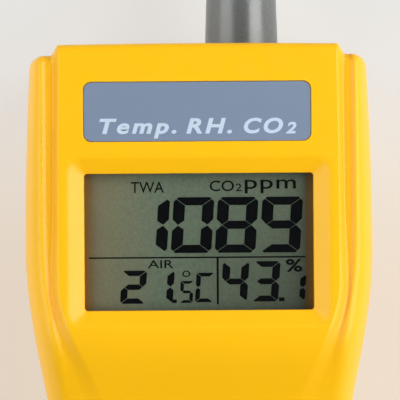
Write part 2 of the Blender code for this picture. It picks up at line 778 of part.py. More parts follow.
def contact_plates():
    """Sheet contacts at both ends of the bay: three bridges between cells, and two single tabs."""
    split = CELL_LOW_Z + CELL_STEP_Z / 2
    lower = (CELL_LOW_Z - 6 * MM, split - 1 * MM)
    upper = (split + 1 * MM, CELL_LOW_Z + CELL_STEP_Z + 6 * MM)
    both = (lower[0], upper[1])
    near = BAY_BOTTOM + CONTACT_BACK
    far = BAY_TOP - CONTACT_BACK - CONTACT_THICK
    edge = BAY_HALF - 0.8 * MM
    plates = [
        ("contact_bridge_lower", -edge, edge, near, lower),
        ("contact_bridge_upper", -edge, edge, near, upper),
        ("contact_left", -edge, -1 * MM, far, both),
        ("contact_positive", 1 * MM, edge, far, lower),
        ("contact_negative", 1 * MM, edge, far, upper),
    ]
    for name, left, right, y, (low_z, high_z) in plates:
        box(name, "steel", (left, y, low_z), (right, y + CONTACT_THICK, high_z))


def contact_spring(name, x, z, way):
    """A conical coil between a contact plate and a cell's flat end."""
    plate = CONTACT_THICK + CONTACT_BACK + GAP + SPRING_WIRE
    foot = BAY_BOTTOM + plate if way > 0 else BAY_TOP - plate
    count = int(SPRING_TURNS * 10)
    data = bpy.data.curves.new(name, "CURVE")
    data.dimensions = "3D"
    data.bevel_depth = SPRING_WIRE
    data.bevel_resolution = 1
    data.use_fill_caps = True
    line = data.splines.new("POLY")
    line.points.add(count)
    rise = 2 * CELL_SHIFT - GAP - 2 * SPRING_WIRE
    for i in range(count + 1):
        share = i / count
        angle = 2 * math.pi * SPRING_TURNS * share
        radius = (4.6 - 1.8 * share) * MM
        place = (radius * math.cos(angle), way * rise * share, radius * math.sin(angle), 1)
        line.points[i].co = place
    item = bpy.data.objects.new(name, data)
    item.location = (x, foot, z)
    bpy.context.collection.objects.link(item)
    return finish(item, "steel")


def lead(name, slot, radius, route):
    """A short internal wire or ribbon along a few points."""
    data = bpy.data.curves.new(name, "CURVE")
    data.dimensions = "3D"
    data.bevel_depth = radius
    data.bevel_resolution = 1
    data.use_fill_caps = True
    line = data.splines.new("POLY")
    line.points.add(len(route) - 1)
    for point, place in zip(line.points, route):
        point.co = (*place, 1)
    item = bpy.data.objects.new(name, data)
    bpy.context.collection.objects.link(item)
    return finish(item, slot)


def internal_leads():
    """The two battery wires, and the wire from the probe's board to the main board."""
    start = BAY_TOP + BAY_WALL + 0.9 * MM
    end = BOARD_BOTTOM - GAP
    for colour, x in (("red", 6 * MM), ("black", 9 * MM)):
        route = [
            (x, start, 12 * MM),
            (x, start, 24 * MM),
            (x, start + 1 * MM, 28 * MM),
            (x, start + 2.5 * MM, 31 * MM),
            (x, start + 3 * MM, end),
        ]
        lead(f"battery_lead_{colour}", f"{colour}_wire", 0.6 * MM, route)
    front = 42 * MM - GAP
    route = [
        (PROBE_X, front, PROBE_Z),
        (PROBE_X, front - 2.5 * MM, PROBE_Z + 0.6 * MM),
        (PROBE_X, front - 4.5 * MM, PROBE_Z + 2.4 * MM),
        (PROBE_X, front - 5.5 * MM, PROBE_Z + 5 * MM),
        (PROBE_X, front - 5.5 * MM, end),
    ]
    lead("probe_lead", "black_wire", 0.8 * MM, route)


def battery_door():
    low = (-DOOR_HALF, DOOR_BOTTOM, 0.1 * MM)
    door = box("battery_door", "case", low, (DOOR_HALF, DOOR_TOP, 0.1 * MM + DOOR_THICK))
    for step in range(4):
        y = -44 * MM + step * 2.4 * MM
        cut(door, tool_box(f"grip_{step}", (-8 * MM, y, -1 * MM), (8 * MM, y + 1 * MM, 0.5 * MM)))
    hole = (0, DOOR_SCREW_Y)
    cut(door, tool_pin("door_hole", 1.4 * MM, (*hole, -1 * MM), (*hole, 3 * MM), 14))
    cut(door, tool_pin("door_counterbore", 2.7 * MM, (*hole, -1 * MM), (*hole, 1.2 * MM), 16))
    return door


def screw(name, x, y, head_z, head_height, length, head_radius, shaft_radius):
    """A pan-head screw driven upwards, its head at the bottom with a driver socket."""
    tip = head_z + head_height + length
    profile = [
        (0, tip),
        (shaft_radius * 0.5, tip),
        (shaft_radius, tip - 0.8 * MM),
        (shaft_radius, head_z + head_height),
        (head_radius, head_z + head_height),
        (head_radius, head_z + head_height * 0.4),
        (head_radius - 0.3 * MM, head_z),
        (0.9 * MM, head_z),
        (0.7 * MM, head_z + head_height * 0.6),
        (0, head_z + head_height * 0.6),
    ]
    return turned(name, "steel", profile, 14, (x, y, 0))


# ---- Probe --------------------------------------------------------------------------------


def probe_radius(y):
    return PROBE_BASE_RADIUS - PROBE_TAPER * (y - BODY_TOP)


def probe_tube():
    """The tapered tube, with a flange held behind the case's end wall."""
    wall_inside = BODY_TOP - WALL - GAP - BLOCK_CROWN
    flange_end = wall_inside - 3.2 * MM
    bore = 4.6 * MM
    profile = [
        (bore, CAP_START),
        (probe_radius(CAP_START) - 0.3 * MM, CAP_START),
        (probe_radius(CAP_START), CAP_START - 0.4 * MM),
        (probe_radius(BODY_TOP + 1 * MM), BODY_TOP + 1 * MM),
        (PROBE_BASE_RADIUS, BODY_TOP),
        (PROBE_BASE_RADIUS, wall_inside),
        (FLANGE_RADIUS, wall_inside),
        (FLANGE_RADIUS, flange_end),
        (bore, flange_end),
        (bore, CAP_START),
    ]
    return turned("probe_tube", "probe", profile, 28, (PROBE_X, 0, PROBE_Z), True)


def probe_cap():
    """The vented end of the probe: long slots round a domed cap."""
    start = CAP_START + GAP
    radius = probe_radius(start)
    end_radius = radius - 0.9 * MM
    dome = 4.5 * MM
    profile = [(0, PROBE_TIP)]
    for step in range(1, 4):
        angle = math.pi / 2 * step / 4
        profile.append((end_radius * math.sin(angle), PROBE_TIP - dome * (1 - math.cos(angle))))
    profile += [
        (end_radius, PROBE_TIP - dome),
        (radius, start + 0.4 * MM),
        (radius - 0.3 * MM, start),
        (radius - CAP_WALL, start),
        (end_radius - CAP_WALL, PROBE_TIP - dome),
        (0, PROBE_TIP - dome + 1.5 * MM),
    ]
    cap = turned("probe_cap", "probe", profile, 24, (PROBE_X, 0, PROBE_Z), True)
    for step in range(CAP_SLOTS // 2):
        angle = math.pi / CAP_SLOTS * (2 * step + 1)
        slot_low = start + 4 * MM
        slot_high = PROBE_TIP - dome - 2.5 * MM
        half = 0.9 * MM
        ring = [(-10 * MM, -half), (10 * MM, -half), (10 * MM, half), (-10 * MM, half)]
        turn_x = math.cos(angle)
        turn_z = math.sin(angle)
        rings = []
        for y in (slot_high, slot_low):
            rings.append([(u * turn_x - v * turn_z, y, u * turn_z + v * turn_x) for u, v in ring])
        cut(cap, lofted(f"cap_slot_{step}", rings, (PROBE_X, 0, PROBE_Z)))
    return cap


def probe_filter():
    """The porous sleeve inside the cap, round the humidity sensor."""
    start = CAP_START + 3.5 * MM
    end = PROBE_TIP - 7.5 * MM
    profile = [(0, end), (4.0 * MM, end), (4.0 * MM, start), (3.2 * MM, start)]
    profile += [(3.2 * MM, end - 1 * MM), (0, end - 1 * MM)]
    return turned("probe_filter", "steel", profile, 18, (PROBE_X, 0, PROBE_Z), True)


def probe_electronics():
    """The narrow sensor board down the tube, with its humidity chip and temperature bead."""
    low = (PROBE_X - 2.6 * MM, 42 * MM, PROBE_Z - 0.5 * MM)
    box("probe_board", "board", low, (PROBE_X + 2.6 * MM, 91 * MM, PROBE_Z + 0.5 * MM))
    low = (PROBE_X - 1.6 * MM, 84.5 * MM, PROBE_Z + 0.5 * MM + GAP)
    box("humidity_sensor", "white_plastic", low, (PROBE_X + 1.6 * MM, 89.5 * MM, PROBE_Z + 2.2 * MM))
    profile = [(0, 1.8 * MM), (0.7 * MM, 1.4 * MM), (0.9 * MM, 0.7 * MM), (0.7 * MM, 0), (0, 0)]
    turned("temperature_bead", "chip", profile, 10, (PROBE_X, 91.3 * MM, PROBE_Z), True)


def build():
    clear_scene()
    front_shell()
    rear_shell()
    label_plate()
    display_lens()
    lcd_glass()
    light_guide()
    display_holder()
    contact_strip("contact_strip_upper", 1)
    contact_strip("contact_strip_lower", -1)
    for place in key_places():
        key(*place)
    keypad_mat()
    main_board()
    under_board("processor_chip", "chip", (-20 * MM, -20 * MM), (-8 * MM, -8 * MM), 1.8 * MM)
    under_board("driver_chip", "chip", (-6 * MM, 16 * MM), (4 * MM, 24 * MM), 1.6 * MM)
    under_board("crystal", "steel", (-4 * MM, -18 * MM), (-1 * MM, -8 * MM), 3.2 * MM, 0.4 * MM)
    buzzer()
    gas_sensor()
    jack("dc_jack", DC_JACK_X, 4.5 * MM, 3.0 * MM, 1.0 * MM)
    jack("signal_jack", PHONE_JACK_X, 4.0 * MM, 1.8 * MM, 0)
    jack_cover()
    battery_holder()
    for place in cell_places():
        cell(*place)
    for name, x, z, way in cell_places():
        contact_spring(name.replace("cell", "spring"), x, z, way)
    contact_plates()
    internal_leads()
    battery_door()
    screw("battery_door_screw", 0, DOOR_SCREW_Y, 0.15 * MM, 0.75 * MM, 7 * MM, 2.4 * MM, 1.0 * MM)
    for name, x, y in case_screw_places():
        head = (SCREW_SEAT_Z - GAP - 2 * MM, 2 * MM, 12 * MM)
        screw(f"case_screw_{name}", x, y, *head, SCREW_HEAD_RADIUS, SCREW_SHAFT_RADIUS)
    probe_tube()
    probe_cap()
    probe_filter()
    probe_electronics()


build()
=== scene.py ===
"""Looks of the handheld air monitor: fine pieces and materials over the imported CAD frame.

Metres, in the CAD's own frame: +Z out of the display, +Y towards the probe, +X to the reader's right.
"""

import json
import math

import bpy
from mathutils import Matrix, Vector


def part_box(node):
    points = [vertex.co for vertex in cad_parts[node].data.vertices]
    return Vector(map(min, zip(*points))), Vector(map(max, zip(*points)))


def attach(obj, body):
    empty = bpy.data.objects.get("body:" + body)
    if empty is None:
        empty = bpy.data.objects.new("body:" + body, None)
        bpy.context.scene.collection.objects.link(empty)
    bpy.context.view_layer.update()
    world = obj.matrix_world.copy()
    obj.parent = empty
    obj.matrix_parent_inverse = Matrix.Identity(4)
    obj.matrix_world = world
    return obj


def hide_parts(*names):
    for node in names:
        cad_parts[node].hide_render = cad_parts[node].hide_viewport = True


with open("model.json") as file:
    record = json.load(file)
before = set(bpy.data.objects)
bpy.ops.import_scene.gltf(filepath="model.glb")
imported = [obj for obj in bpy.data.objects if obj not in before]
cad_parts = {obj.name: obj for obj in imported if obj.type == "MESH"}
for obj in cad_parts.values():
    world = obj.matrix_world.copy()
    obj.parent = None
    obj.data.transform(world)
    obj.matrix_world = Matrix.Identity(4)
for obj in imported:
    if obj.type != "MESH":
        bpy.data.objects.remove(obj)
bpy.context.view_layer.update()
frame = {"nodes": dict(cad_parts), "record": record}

MM = 0.001

# Places read from the CAD
front_low, front_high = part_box("front_shell")
_, rear_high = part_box("rear_shell")
glass_low, glass_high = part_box("lcd_glass")
plate_low, plate_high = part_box("label_plate")
tube_low, tube_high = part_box("probe_tube")
cap_low, cap_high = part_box("probe_cap")
door_low, door_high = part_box("battery_door")
cover_low, cover_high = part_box("jack_cover")

BODY_BOTTOM = front_low.y
BODY_TOP = front_high.y
FACE_Z = front_high.z
HEAD_HALF = front_high.x
BACK_EDGE_Z = rear_high.z
PARTING_GAP = 0.15 * MM
PARTING_Z = BACK_EDGE_Z + PARTING_GAP
FRONT_EDGE_Z = PARTING_Z + PARTING_GAP
WINDOW_Y = (glass_low.y + glass_high.y) / 2
GLASS_TOP = glass_high.z
LABEL_X = (plate_low.x + plate_high.x) / 2
LABEL_Y = (plate_low.y + plate_high.y) / 2
PROBE_X = (tube_low.x + tube_high.x) / 2
PROBE_TIP = cap_high.y
CAP_START = tube_high.y

# The CAD's own case dimensions, repeated so that the surface can be drawn more finely
HANDLE_Z = 40.6 * MM
WALL = 2.4 * MM
GAP = 0.3 * MM
HANDLE_HALF = 28.0 * MM
HEAD_WIDEST_Y = 12 * MM
WAIST_Y = -42 * MM
HEAD_TAPER = 0.82
SHOULDER_END = BODY_TOP - 2.2 * MM
TOP_CORNER = 2.2 * MM
BOTTOM_CORNER = 13 * MM
BLOCK_CROWN = 0.2 * MM
CREASE_HALF = 27.4 * MM
CREASE_DROP = 9.5 * MM
CREASE_TAPER = 0.3
VALLEY_HALF = 29.3 * MM
VALLEY_DROP = 6.85 * MM
RIDGE_HALF = 30.75 * MM
RIDGE_DROP = 6.05 * MM
TAPER_START = 6 * MM
TAPER_RUN = 30.2 * MM
RIDGE_START = 14 * MM
RIDGE_RUN = 45 * MM
RIDGE_Z = 47.1 * MM
VALLEY_Z = 46.7 * MM
SLOPE_TOP = -2 * MM
SLOPE_RUN = 24 * MM
SIDE_Z = 33 * MM
BLOCK_EDGE = 1.6 * MM
RAIL_EDGE = 2.0 * MM
END_EDGE = 8.0 * MM
BACK_SIDE_Z = 10 * MM
BACK_ROUND = 9 * MM
WINDOW_HALF = (22.5 * MM, 13.45 * MM)
FRAME_WIDTH = 3.3 * MM
FRAME_DEPTH = 1.6 * MM
LABEL_HALF = (22.3 * MM, 5.87 * MM)
LABEL_RADIUS = 1.6 * MM
KEY_HALF = (6.6 * MM, 4.3 * MM)
KEY_TOP = HANDLE_Z + 1.6 * MM
KEY_CLEARANCE = 0.35 * MM
BOSS_RADIUS = 3.2 * MM
SCREW_SEAT_Z = 15 * MM
JACK_Z = 28.6 * MM
JACKS = ((-8 * MM, 3.6 * MM), (6.5 * MM, 3.2 * MM))
PROBE_BASE_RADIUS = 7.55 * MM
PROBE_TAPER = 0.035

# Finer than the CAD: the level strip in each valley, as a share of the block's side, and its start
VALLEY_FLAT = 0.3
VALLEY_WIDENS = 6 * MM
VALLEY_WIDENING_RUN = 16 * MM

# Points closer than this are one point
SAME_POINT = 0.000001


def smooth(t):
    t = min(max(t, 0.0), 1.0)
    return t * t * (3 - 2 * t)


# ---- Materials ----------------------------------------------------------------------------


def node(tree, kind, inputs=None, **settings):
    """A shader node with its settings, and its inputs given by name or index as values or sockets."""
    made = tree.nodes.new(kind)
    for key, value in settings.items():
        setattr(made, key, value)
    for key, value in (inputs or {}).items():
        if isinstance(value, bpy.types.NodeSocket):
            tree.links.new(value, made.inputs[key])
        else:
            made.inputs[key].default_value = value
    return made


def noise(tree, place, scale, detail=3.0):
    made = node(tree, "ShaderNodeTexNoise", {"Vector": place, "Scale": scale, "Detail": detail})
    return made.outputs["Fac"]


def spread(tree, value, low, high, from_low=0.3, from_high=0.7):
    """A value's middle range spread between two others."""
    ends = {"Value": value, "From Min": from_low, "From Max": from_high, "To Min": low, "To Max": high}
    return node(tree, "ShaderNodeMapRange", ends).outputs["Result"]


def mixed(tree, share, first, second):
    made = tree.nodes.new("ShaderNodeMix")
    made.data_type = "RGBA"
    for index, value in ((0, share), (6, first), (7, second)):
        if isinstance(value, bpy.types.NodeSocket):
            tree.links.new(value, made.inputs[index])
        else:
            made.inputs[index].default_value = value
    return made.outputs[2]


def rgba(colour, gain=1.0):
    return (*(min(part * gain, 1.0) for part in colour), 1.0)


def surface(name, colour, roughness, metallic=0.0, shade=0.05, shade_scale=45.0, grain=0.12,
            grain_scale=2600.0, wear=0.35, worn=None, specular=0.5, soft_edge=0.12 * MM):
    """A procedural finish: colour variation, uneven roughness, fine grain and lightly worn edges."""
    made = bpy.data.materials.new(name)
    made.use_nodes = True
    tree = made.node_tree
    shader = tree.nodes["Principled BSDF"]
    place = tree.nodes.new("ShaderNodeTexCoord").outputs["Object"]
    broad = noise(tree, place, shade_scale)
    fine = noise(tree, place, grain_scale, 2.0)
    smear = noise(tree, place, shade_scale * 6)
    darker = rgba(colour, 1 - shade)
    lighter = rgba(colour, 1 + shade)
    body = mixed(tree, spread(tree, broad, 0.0, 1.0), darker, lighter)
    rounded = node(tree, "ShaderNodeBevel", {"Radius": soft_edge}, samples=4).outputs["Normal"]
    true_normal = tree.nodes.new("ShaderNodeNewGeometry").outputs["Normal"]
    facing = node(tree, "ShaderNodeVectorMath", {0: rounded, 1: true_normal}, operation="DOT_PRODUCT")
    edge = spread(tree, facing.outputs["Value"], 1.0, 0.0, 0.86, 0.985)
    patch = spread(tree, smear, 0.2, 1.0)
    mask = node(tree, "ShaderNodeMath", {0: edge, 1: patch}, operation="MULTIPLY").outputs[0]
    share = node(tree, "ShaderNodeMath", {0: mask, 1: wear}, operation="MULTIPLY").outputs[0]
    tint = mixed(tree, share, body, rgba(worn or [part * 0.6 + 0.25 for part in colour]))
    dull = spread(tree, smear, roughness - 0.04, roughness + 0.05)
    relief = {"Strength": grain, "Distance": 0.05 * MM, "Height": fine, "Normal": rounded}
    bump = node(tree, "ShaderNodeBump", relief)
    tree.links.new(tint, shader.inputs["Base Color"])
    tree.links.new(dull, shader.inputs["Roughness"])
    tree.links.new(bump.outputs["Normal"], shader.inputs["Normal"])
    shader.inputs["Metallic"].default_value = metallic
    shader.inputs["Specular IOR Level"].default_value = specular
    return made


def paint_hollow_shade(made, colour, reach):
    """Painted shade in hollows: a richer, deeper colour where little light reaches, standing in for light
    bouncing between walls of the same plastic.
    """
    tree = made.node_tree
    shader = tree.nodes["Principled BSDF"]
    body = shader.inputs["Base Color"].links[0].from_socket
    openness = node(tree, "ShaderNodeAmbientOcclusion", {"Distance": reach}, samples=8).outputs["AO"]
    # Painted shade: the less open the spot, the more of the deeper colour
    share = spread(tree, openness, 1.0, 0.0, 0.5, 0.98)
    tree.links.new(mixed(tree, share, body, rgba(colour)), shader.inputs["Base Color"])


def lens_material():
    """Clear plastic: see-through with a weak mirror on its outer faces, and faint smears that blur it."""
    made = bpy.data.materials.new("clear_lens")
    made.use_nodes = True
    tree = made.node_tree
    tree.nodes.remove(tree.nodes["Principled BSDF"])
    place = tree.nodes.new("ShaderNodeTexCoord").outputs["Object"]
    smear = noise(tree, place, 120.0)
    tint = mixed(tree, spread(tree, smear, 0.0, 1.0), (0.97, 0.98, 0.97, 1), (0.99, 1.0, 0.99, 1))
    through = node(tree, "ShaderNodeBsdfTransparent", {"Color": tint}).outputs[0]
    blur = spread(tree, smear, 0.01, 0.04)
    mirror = node(tree, "ShaderNodeBsdfGlossy", {"Color": (1, 1, 1, 1), "Roughness": blur}).outputs[0]
    share = node(tree, "ShaderNodeFresnel", {"IOR": 1.25}).outputs[0]
    leaving = tree.nodes.new("ShaderNodeNewGeometry").outputs["Backfacing"]
    entering = node(tree, "ShaderNodeMath", {0: 1.0, 1: leaving}, operation="SUBTRACT").outputs[0]
    share = node(tree, "ShaderNodeMath", {0: share, 1: entering}, operation="MULTIPLY").outputs[0]
    mix = node(tree, "ShaderNodeMixShader", {0: share, 1: through, 2: mirror})
    tree.links.new(mix.outputs[0], tree.nodes["Material Output"].inputs["Surface"])
    return made


def panel_material():
    """The display's grey-green reflector: cloudy and finely grained, with painted shade darker towards its
    edges and lower right, and painted yellow light from the walls on its left and along its sides.
    """
    made = surface("lcd_reflector", (0.129, 0.167, 0.118), 0.5, grain=0.05, wear=0.0, specular=0.3)
    tree = made.node_tree
    shader = tree.nodes["Principled BSDF"]
    body = shader.inputs["Base Color"].links[0].from_socket
    place = tree.nodes.new("ShaderNodeTexCoord").outputs["Object"]
    mottle = spread(tree, noise(tree, place, 2200.0, 4.0), 0.0, 0.38)
    grained = mixed(tree, mottle, body, (0.04, 0.046, 0.033, 1))
    parts = node(tree, "ShaderNodeSeparateXYZ", {0: place})
    # Painted bounce light: a warm glow from the yellow walls, painted over the left side
    warm = spread(tree, parts.outputs["X"], 0.5, 0.0, -24 * MM, -8 * MM)
    with_painted_glow = mixed(tree, warm, grained, (0.30, 0.21, 0.10, 1))
    # Painted shade: darker towards the bottom and the right, most at the lower right
    down = spread(tree, parts.outputs["Y"], 1.0, 0.0, WINDOW_Y - 13 * MM, WINDOW_Y + 9 * MM)
    right = spread(tree, parts.outputs["X"], 0.0, 1.0, -6 * MM, 22 * MM)
    both = node(tree, "ShaderNodeMath", {0: down, 1: right}, operation="MULTIPLY").outputs[0]
    fall = node(tree, "ShaderNodeMath", {0: down, 1: 0.12}, operation="MULTIPLY").outputs[0]
    side = node(tree, "ShaderNodeMath", {0: right, 1: 0.24, 2: fall}, operation="MULTIPLY_ADD").outputs[0]
    more = node(tree, "ShaderNodeMath", {0: both, 1: 0.40, 2: side}, operation="MULTIPLY_ADD").outputs[0]
    with_painted_shade = mixed(tree, more, with_painted_glow, (0.02, 0.022, 0.014, 1))
    # Painted shade and bounce light: orange-brown bands along the side walls, which shade the display and
    # throw yellow light on it
    across = node(tree, "ShaderNodeMath", {0: parts.outputs["X"]}, operation="ABSOLUTE").outputs[0]
    wall_light_share = spread(tree, across, 0.0, 0.9, WINDOW_HALF[0] - 1.9 * MM, WINDOW_HALF[0] - 0.2 * MM)
    with_painted_wall_light = mixed(tree, wall_light_share, with_painted_shade, (0.25, 0.118, 0.013, 1))
    tree.links.new(with_painted_wall_light, shader.inputs["Base Color"])
    return made


def cell_material():
    """A plain dark wrapper with a warm band at the raised end, in the cell's own direction."""
    made = surface("cell_wrapper", (0.035, 0.05, 0.09), 0.32, shade=0.12, grain=0.03, wear=0.2)
    tree = made.node_tree
    shader = tree.nodes["Principled BSDF"]
    body = shader.inputs["Base Color"].links[0].from_socket
    place = tree.nodes.new("ShaderNodeTexCoord").outputs["Object"]
    along = node(tree, "ShaderNodeSeparateXYZ", {0: place}).outputs["Z"]
    band = spread(tree, along, 0.0, 1.0, 9.9 * MM, 10.1 * MM)
    tint = mixed(tree, band, body, (0.55, 0.26, 0.09, 1))
    tree.links.new(tint, shader.inputs["Base Color"])
    end = node(tree, "ShaderNodeMath", {0: along, 1: 23.4 * MM}, operation="GREATER_THAN").outputs[0]
    bottom = node(tree, "ShaderNodeMath", {0: along, 1: -24.7 * MM}, operation="LESS_THAN").outputs[0]
    bare = node(tree, "ShaderNodeMath", {0: end, 1: bottom}, operation="MAXIMUM").outputs[0]
    metal = mixed(tree, bare, tint, (0.6, 0.6, 0.6, 1))
    tree.links.new(metal, shader.inputs["Base Color"])
    tree.links.new(bare, shader.inputs["Metallic"])
    return made


FINISH = {
    "case": surface("case_plastic", (0.955, 0.510, 0.004), 0.34, shade=0.012, grain=0.10, wear=0.25,
                    worn=(0.99, 0.66, 0.10), specular=0.36),
    "rubber": surface("key_rubber", (0.10, 0.13, 0.20), 0.62, shade=0.06, grain=0.25, specular=0.35),
    "probe": surface("probe_plastic", (0.108, 0.121, 0.126), 0.29, shade=0.03, grain=0.05, wear=0.1,
                     specular=0.54),
    "label": surface("label_film", (0.188, 0.245, 0.345), 0.38, shade=0.02, grain=0.05, wear=0.2,
                     worn=(0.35, 0.26, 0.22)),
    "white_plastic": surface("white_plastic", (0.78, 0.77, 0.73), 0.45, shade=0.03),
    "board": surface("board_mask", (0.012, 0.13, 0.055), 0.38, shade=0.15, shade_scale=160.0),
    "chip": surface("moulded_black", (0.022, 0.022, 0.024), 0.5, shade=0.15, grain=0.3, wear=0.3),
    "steel": surface("plated_steel", (0.60, 0.60, 0.61), 0.27, metallic=1.0, shade=0.06, grain=0.06),
    "foam": surface("dark_foam", (0.05, 0.05, 0.055), 0.9, shade=0.2, grain=0.9, grain_scale=1500.0),
    "brass": surface("gold_plated", (0.72, 0.52, 0.24), 0.3, metallic=1.0, shade=0.08, grain=0.05),
    "red_wire": surface("red_sleeve", (0.55, 0.025, 0.02), 0.45, shade=0.08),
    "black_wire": surface("black_sleeve", (0.02, 0.02, 0.02), 0.45, shade=0.1),
    "clear": lens_material(),
    "display": panel_material(),
    "cell_wrap": cell_material(),
    "print": surface("label_print", (0.52, 0.63, 0.76), 0.45, shade=0.02, grain=0.03, wear=0.0),
    "ink": surface("display_ink", (0.0015, 0.002, 0.003), 0.4, shade=0.1, grain=0.02, wear=0.0,
                   specular=0.08),
}
FINISH["probe"].node_tree.nodes["Principled BSDF"].inputs["IOR"].default_value = 1.8
# Painted shade: a deeper orange painted into the case's hollows
paint_hollow_shade(FINISH["case"], (0.96, 0.36, 0.02), 4 * MM)


# ---- Pieces -------------------------------------------------------------------------------


def mesh_object(name, points, faces):
    data = bpy.data.meshes.new(name)
    data.from_pydata(points, [], faces)
    data.update()
    item = bpy.data.objects.new(name, data)
    bpy.context.scene.collection.objects.link(item)
    return item


def loft(rings, closed=False):
    """Points and faces of a solid through rings; closed joins the last ring to the first."""
    count = len(rings[0])
    points = [tuple(p) for ring in rings for p in ring]
    levels = len(rings)
    faces = [] if closed else [tuple(reversed(range(count)))]
    for level in range(levels if closed else levels - 1):
        low = level * count
        high = (level + 1) % levels * count
        for i in range(count):
            j = (i + 1) % count
            faces.append((low + i, low + j, high + j, high + i))
    if not closed:
        faces.append(tuple(range(len(points) - count, len(points))))
    return points, faces


def joined(parts):
    """Points and faces of several shapes as one."""
    points, faces = [], []
    for more, shapes in parts:
        start = len(points)
        points += more
        faces += [tuple(start + i for i in face) for face in shapes]
    return points, faces


def stack(layers, middle=(0, 0)):
    """Flat outlines stacked along z: layers are (outline, z) from the bottom up."""
    return loft([[(x + middle[0], y + middle[1], z) for x, y in outline] for outline, z in layers])


def rounded_rect(half, radius, steps=8):
    outline = []
    for quarter in range(4):
        sx = 1 if quarter in (0, 3) else -1
        sy = 1 if quarter in (0, 1) else -1
        for step in range(steps + 1):
            angle = math.pi / 2 * (quarter + step / steps)
            x = sx * (half[0] - radius) + radius * math.cos(angle)
            outline.append((x, sy * (half[1] - radius) + radius * math.sin(angle)))
    return outline


def lathe(profile, steps=64, centre=(0, 0, 0), along_y=False):
    """A turned solid: profile points are (radius, height) from the top down; an end on the axis closes it."""
    points, faces = [], []
    count = len(profile)
    for step in range(steps):
        angle = 2 * math.pi * step / steps
        for radius, height in profile:
            u = radius * math.cos(angle)
            v = radius * math.sin(angle)
            turned = (u, height, -v) if along_y else (u, v, height)
            points.append(tuple(a + b for a, b in zip(turned, centre)))
    for step in range(steps):
        a = step * count
        b = (step + 1) % steps * count
        for i in range(count - 1):
            faces.append((a + i, a + i + 1, b + i + 1, b + i))
    return points, faces


def round_edge(radius, turn_from, turn_to, steps, offset, height):
    """(offset, z) along a convex round; 0 degrees faces the hollow and 90 faces up."""
    rows = []
    for step in range(steps + 1):
        angle = math.radians(turn_from + (turn_to - turn_from) * step / steps)
        rows.append((offset + radius - radius * math.cos(angle), height - radius + radius * math.sin(angle)))
    return rows


def hollow(half, corner, rows, middle, growth=1.0):
    """A cutting tool whose outline grows outwards by each row's offset."""
    layers = []
    for offset, z in rows:
        outline = rounded_rect([side + offset for side in half], corner + offset * growth)
        layers.append((outline, z))
    return stack(layers, middle)


def baked(item):
    """Keep the result of an object's modifiers as its own mesh."""
    graph = bpy.context.evaluated_depsgraph_get()
    graph.update()
    result = bpy.data.meshes.new_from_object(item.evaluated_get(graph))
    item.modifiers.clear()
    item.data = result
    return item


def merged(item, within=0.000002):
    item.modifiers.new("weld", "WELD").merge_threshold = within
    return baked(item)


def solid(name, shape):
    """An object from points and faces, with the points that meet made one."""
    return merged(mesh_object(name, *shape), SAME_POINT)


def boolean(target, shape, operation):
    """Cut, add or intersect a shape given as points and faces, or as an object."""
    tool = shape if isinstance(shape, bpy.types.Object) else solid("tool", shape)
    step = target.modifiers.new("shape", "BOOLEAN")
    step.operation = operation
    step.solver = "EXACT"
    step.object = tool
    baked(target)
    bpy.data.objects.remove(tool, do_unlink=True)
    return target


def dress(item, finish, angle=32.0, body="case", nodes=(), slot=None, weighted=True):
    """Shading, material and body of a finished piece; the CAD nodes it replaces are hidden."""
    item.data.materials.clear()
    item.data.materials.append(FINISH[finish])
    item.data.shade_smooth()
    item.data.set_sharp_from_angle(angle=math.radians(angle))
    if weighted:
        even = item.modifiers.new("even", "WEIGHTED_NORMAL")
        even.mode = "FACE_AREA"
        even.keep_sharp = True
    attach(item, body)
    if nodes:
        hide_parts(*nodes)
    return item


def piece(name, shape, finish, **more):
    return dress(solid(name, shape), finish, **more)


# ---- Case ---------------------------------------------------------------------------------


def case_half_width(y):
    """Half the case's width: it narrows gently past its widest place and in an S towards the handle."""
    if y > HEAD_WIDEST_Y:
        return HEAD_HALF - HEAD_TAPER * (y - HEAD_WIDEST_Y) ** 2
    return HANDLE_HALF + (HEAD_HALF - HANDLE_HALF) * smooth((y - WAIST_Y) / (HEAD_WIDEST_Y - WAIST_Y))


def corner_loss(distance, radius):
    """How far a round has fallen away at this distance from the end of the face."""
    if distance >= radius:
        return 0.0
    return radius - math.sqrt(max(radius**2 - (radius - distance) ** 2, 0.0))


def front_profile(y, inset, arc_steps):
    """Half of the front's section at y: (x, z, share of the block) from the parting line to the middle."""
    half = case_half_width(y)
    taper = smooth((TAPER_START - y) / TAPER_RUN)
    ridge_x = RIDGE_HALF - RIDGE_DROP * smooth((RIDGE_START - y) / RIDGE_RUN)
    valley_x = VALLEY_HALF - VALLEY_DROP * taper
    crease_x = CREASE_HALF - CREASE_DROP * taper - CREASE_TAPER * max(y - HEAD_WIDEST_Y, 0) ** 2
    slope = smooth((SLOPE_TOP - y) / SLOPE_RUN)
    face_z = FACE_Z + (HANDLE_Z - FACE_Z) * slope
    ridge_z = RIDGE_Z + (HANDLE_Z - 0.6 * MM - RIDGE_Z) * slope
    valley_z = VALLEY_Z + (HANDLE_Z - 0.2 * MM - VALLEY_Z) * slope
    widening = smooth((y - VALLEY_WIDENS) / VALLEY_WIDENING_RUN)
    flat = VALLEY_FLAT * widening
    rows = []
    for step in range(arc_steps + 1):
        angle = math.pi / 2 * step / arc_steps
        x = ridge_x + (half - ridge_x) * math.cos(angle)
        rows.append((x, SIDE_Z + (ridge_z - SIDE_Z) * math.sin(angle), 0.0))
    for step in range(1, 6):
        share = step / 6
        x = ridge_x + (valley_x - ridge_x) * share
        rows.append((x, ridge_z + (valley_z - ridge_z) * smooth(share * (1 + 0.5 * widening)), 0.0))
    for step in range(arc_steps + 1):
        share = step / arc_steps
        x = valley_x + (crease_x - valley_x) * share
        z = valley_z + (face_z - valley_z) * smooth((share - flat) / (1 - flat))
        rows.append((x, z, smooth((share - 0.1) / 0.75)))
    for step in range(1, 7):
        rows.append((crease_x * (1 - step / 6), face_z, 1.0))
    return [(max(x - inset, 0.0), z - inset, share) for x, z, share in rows]


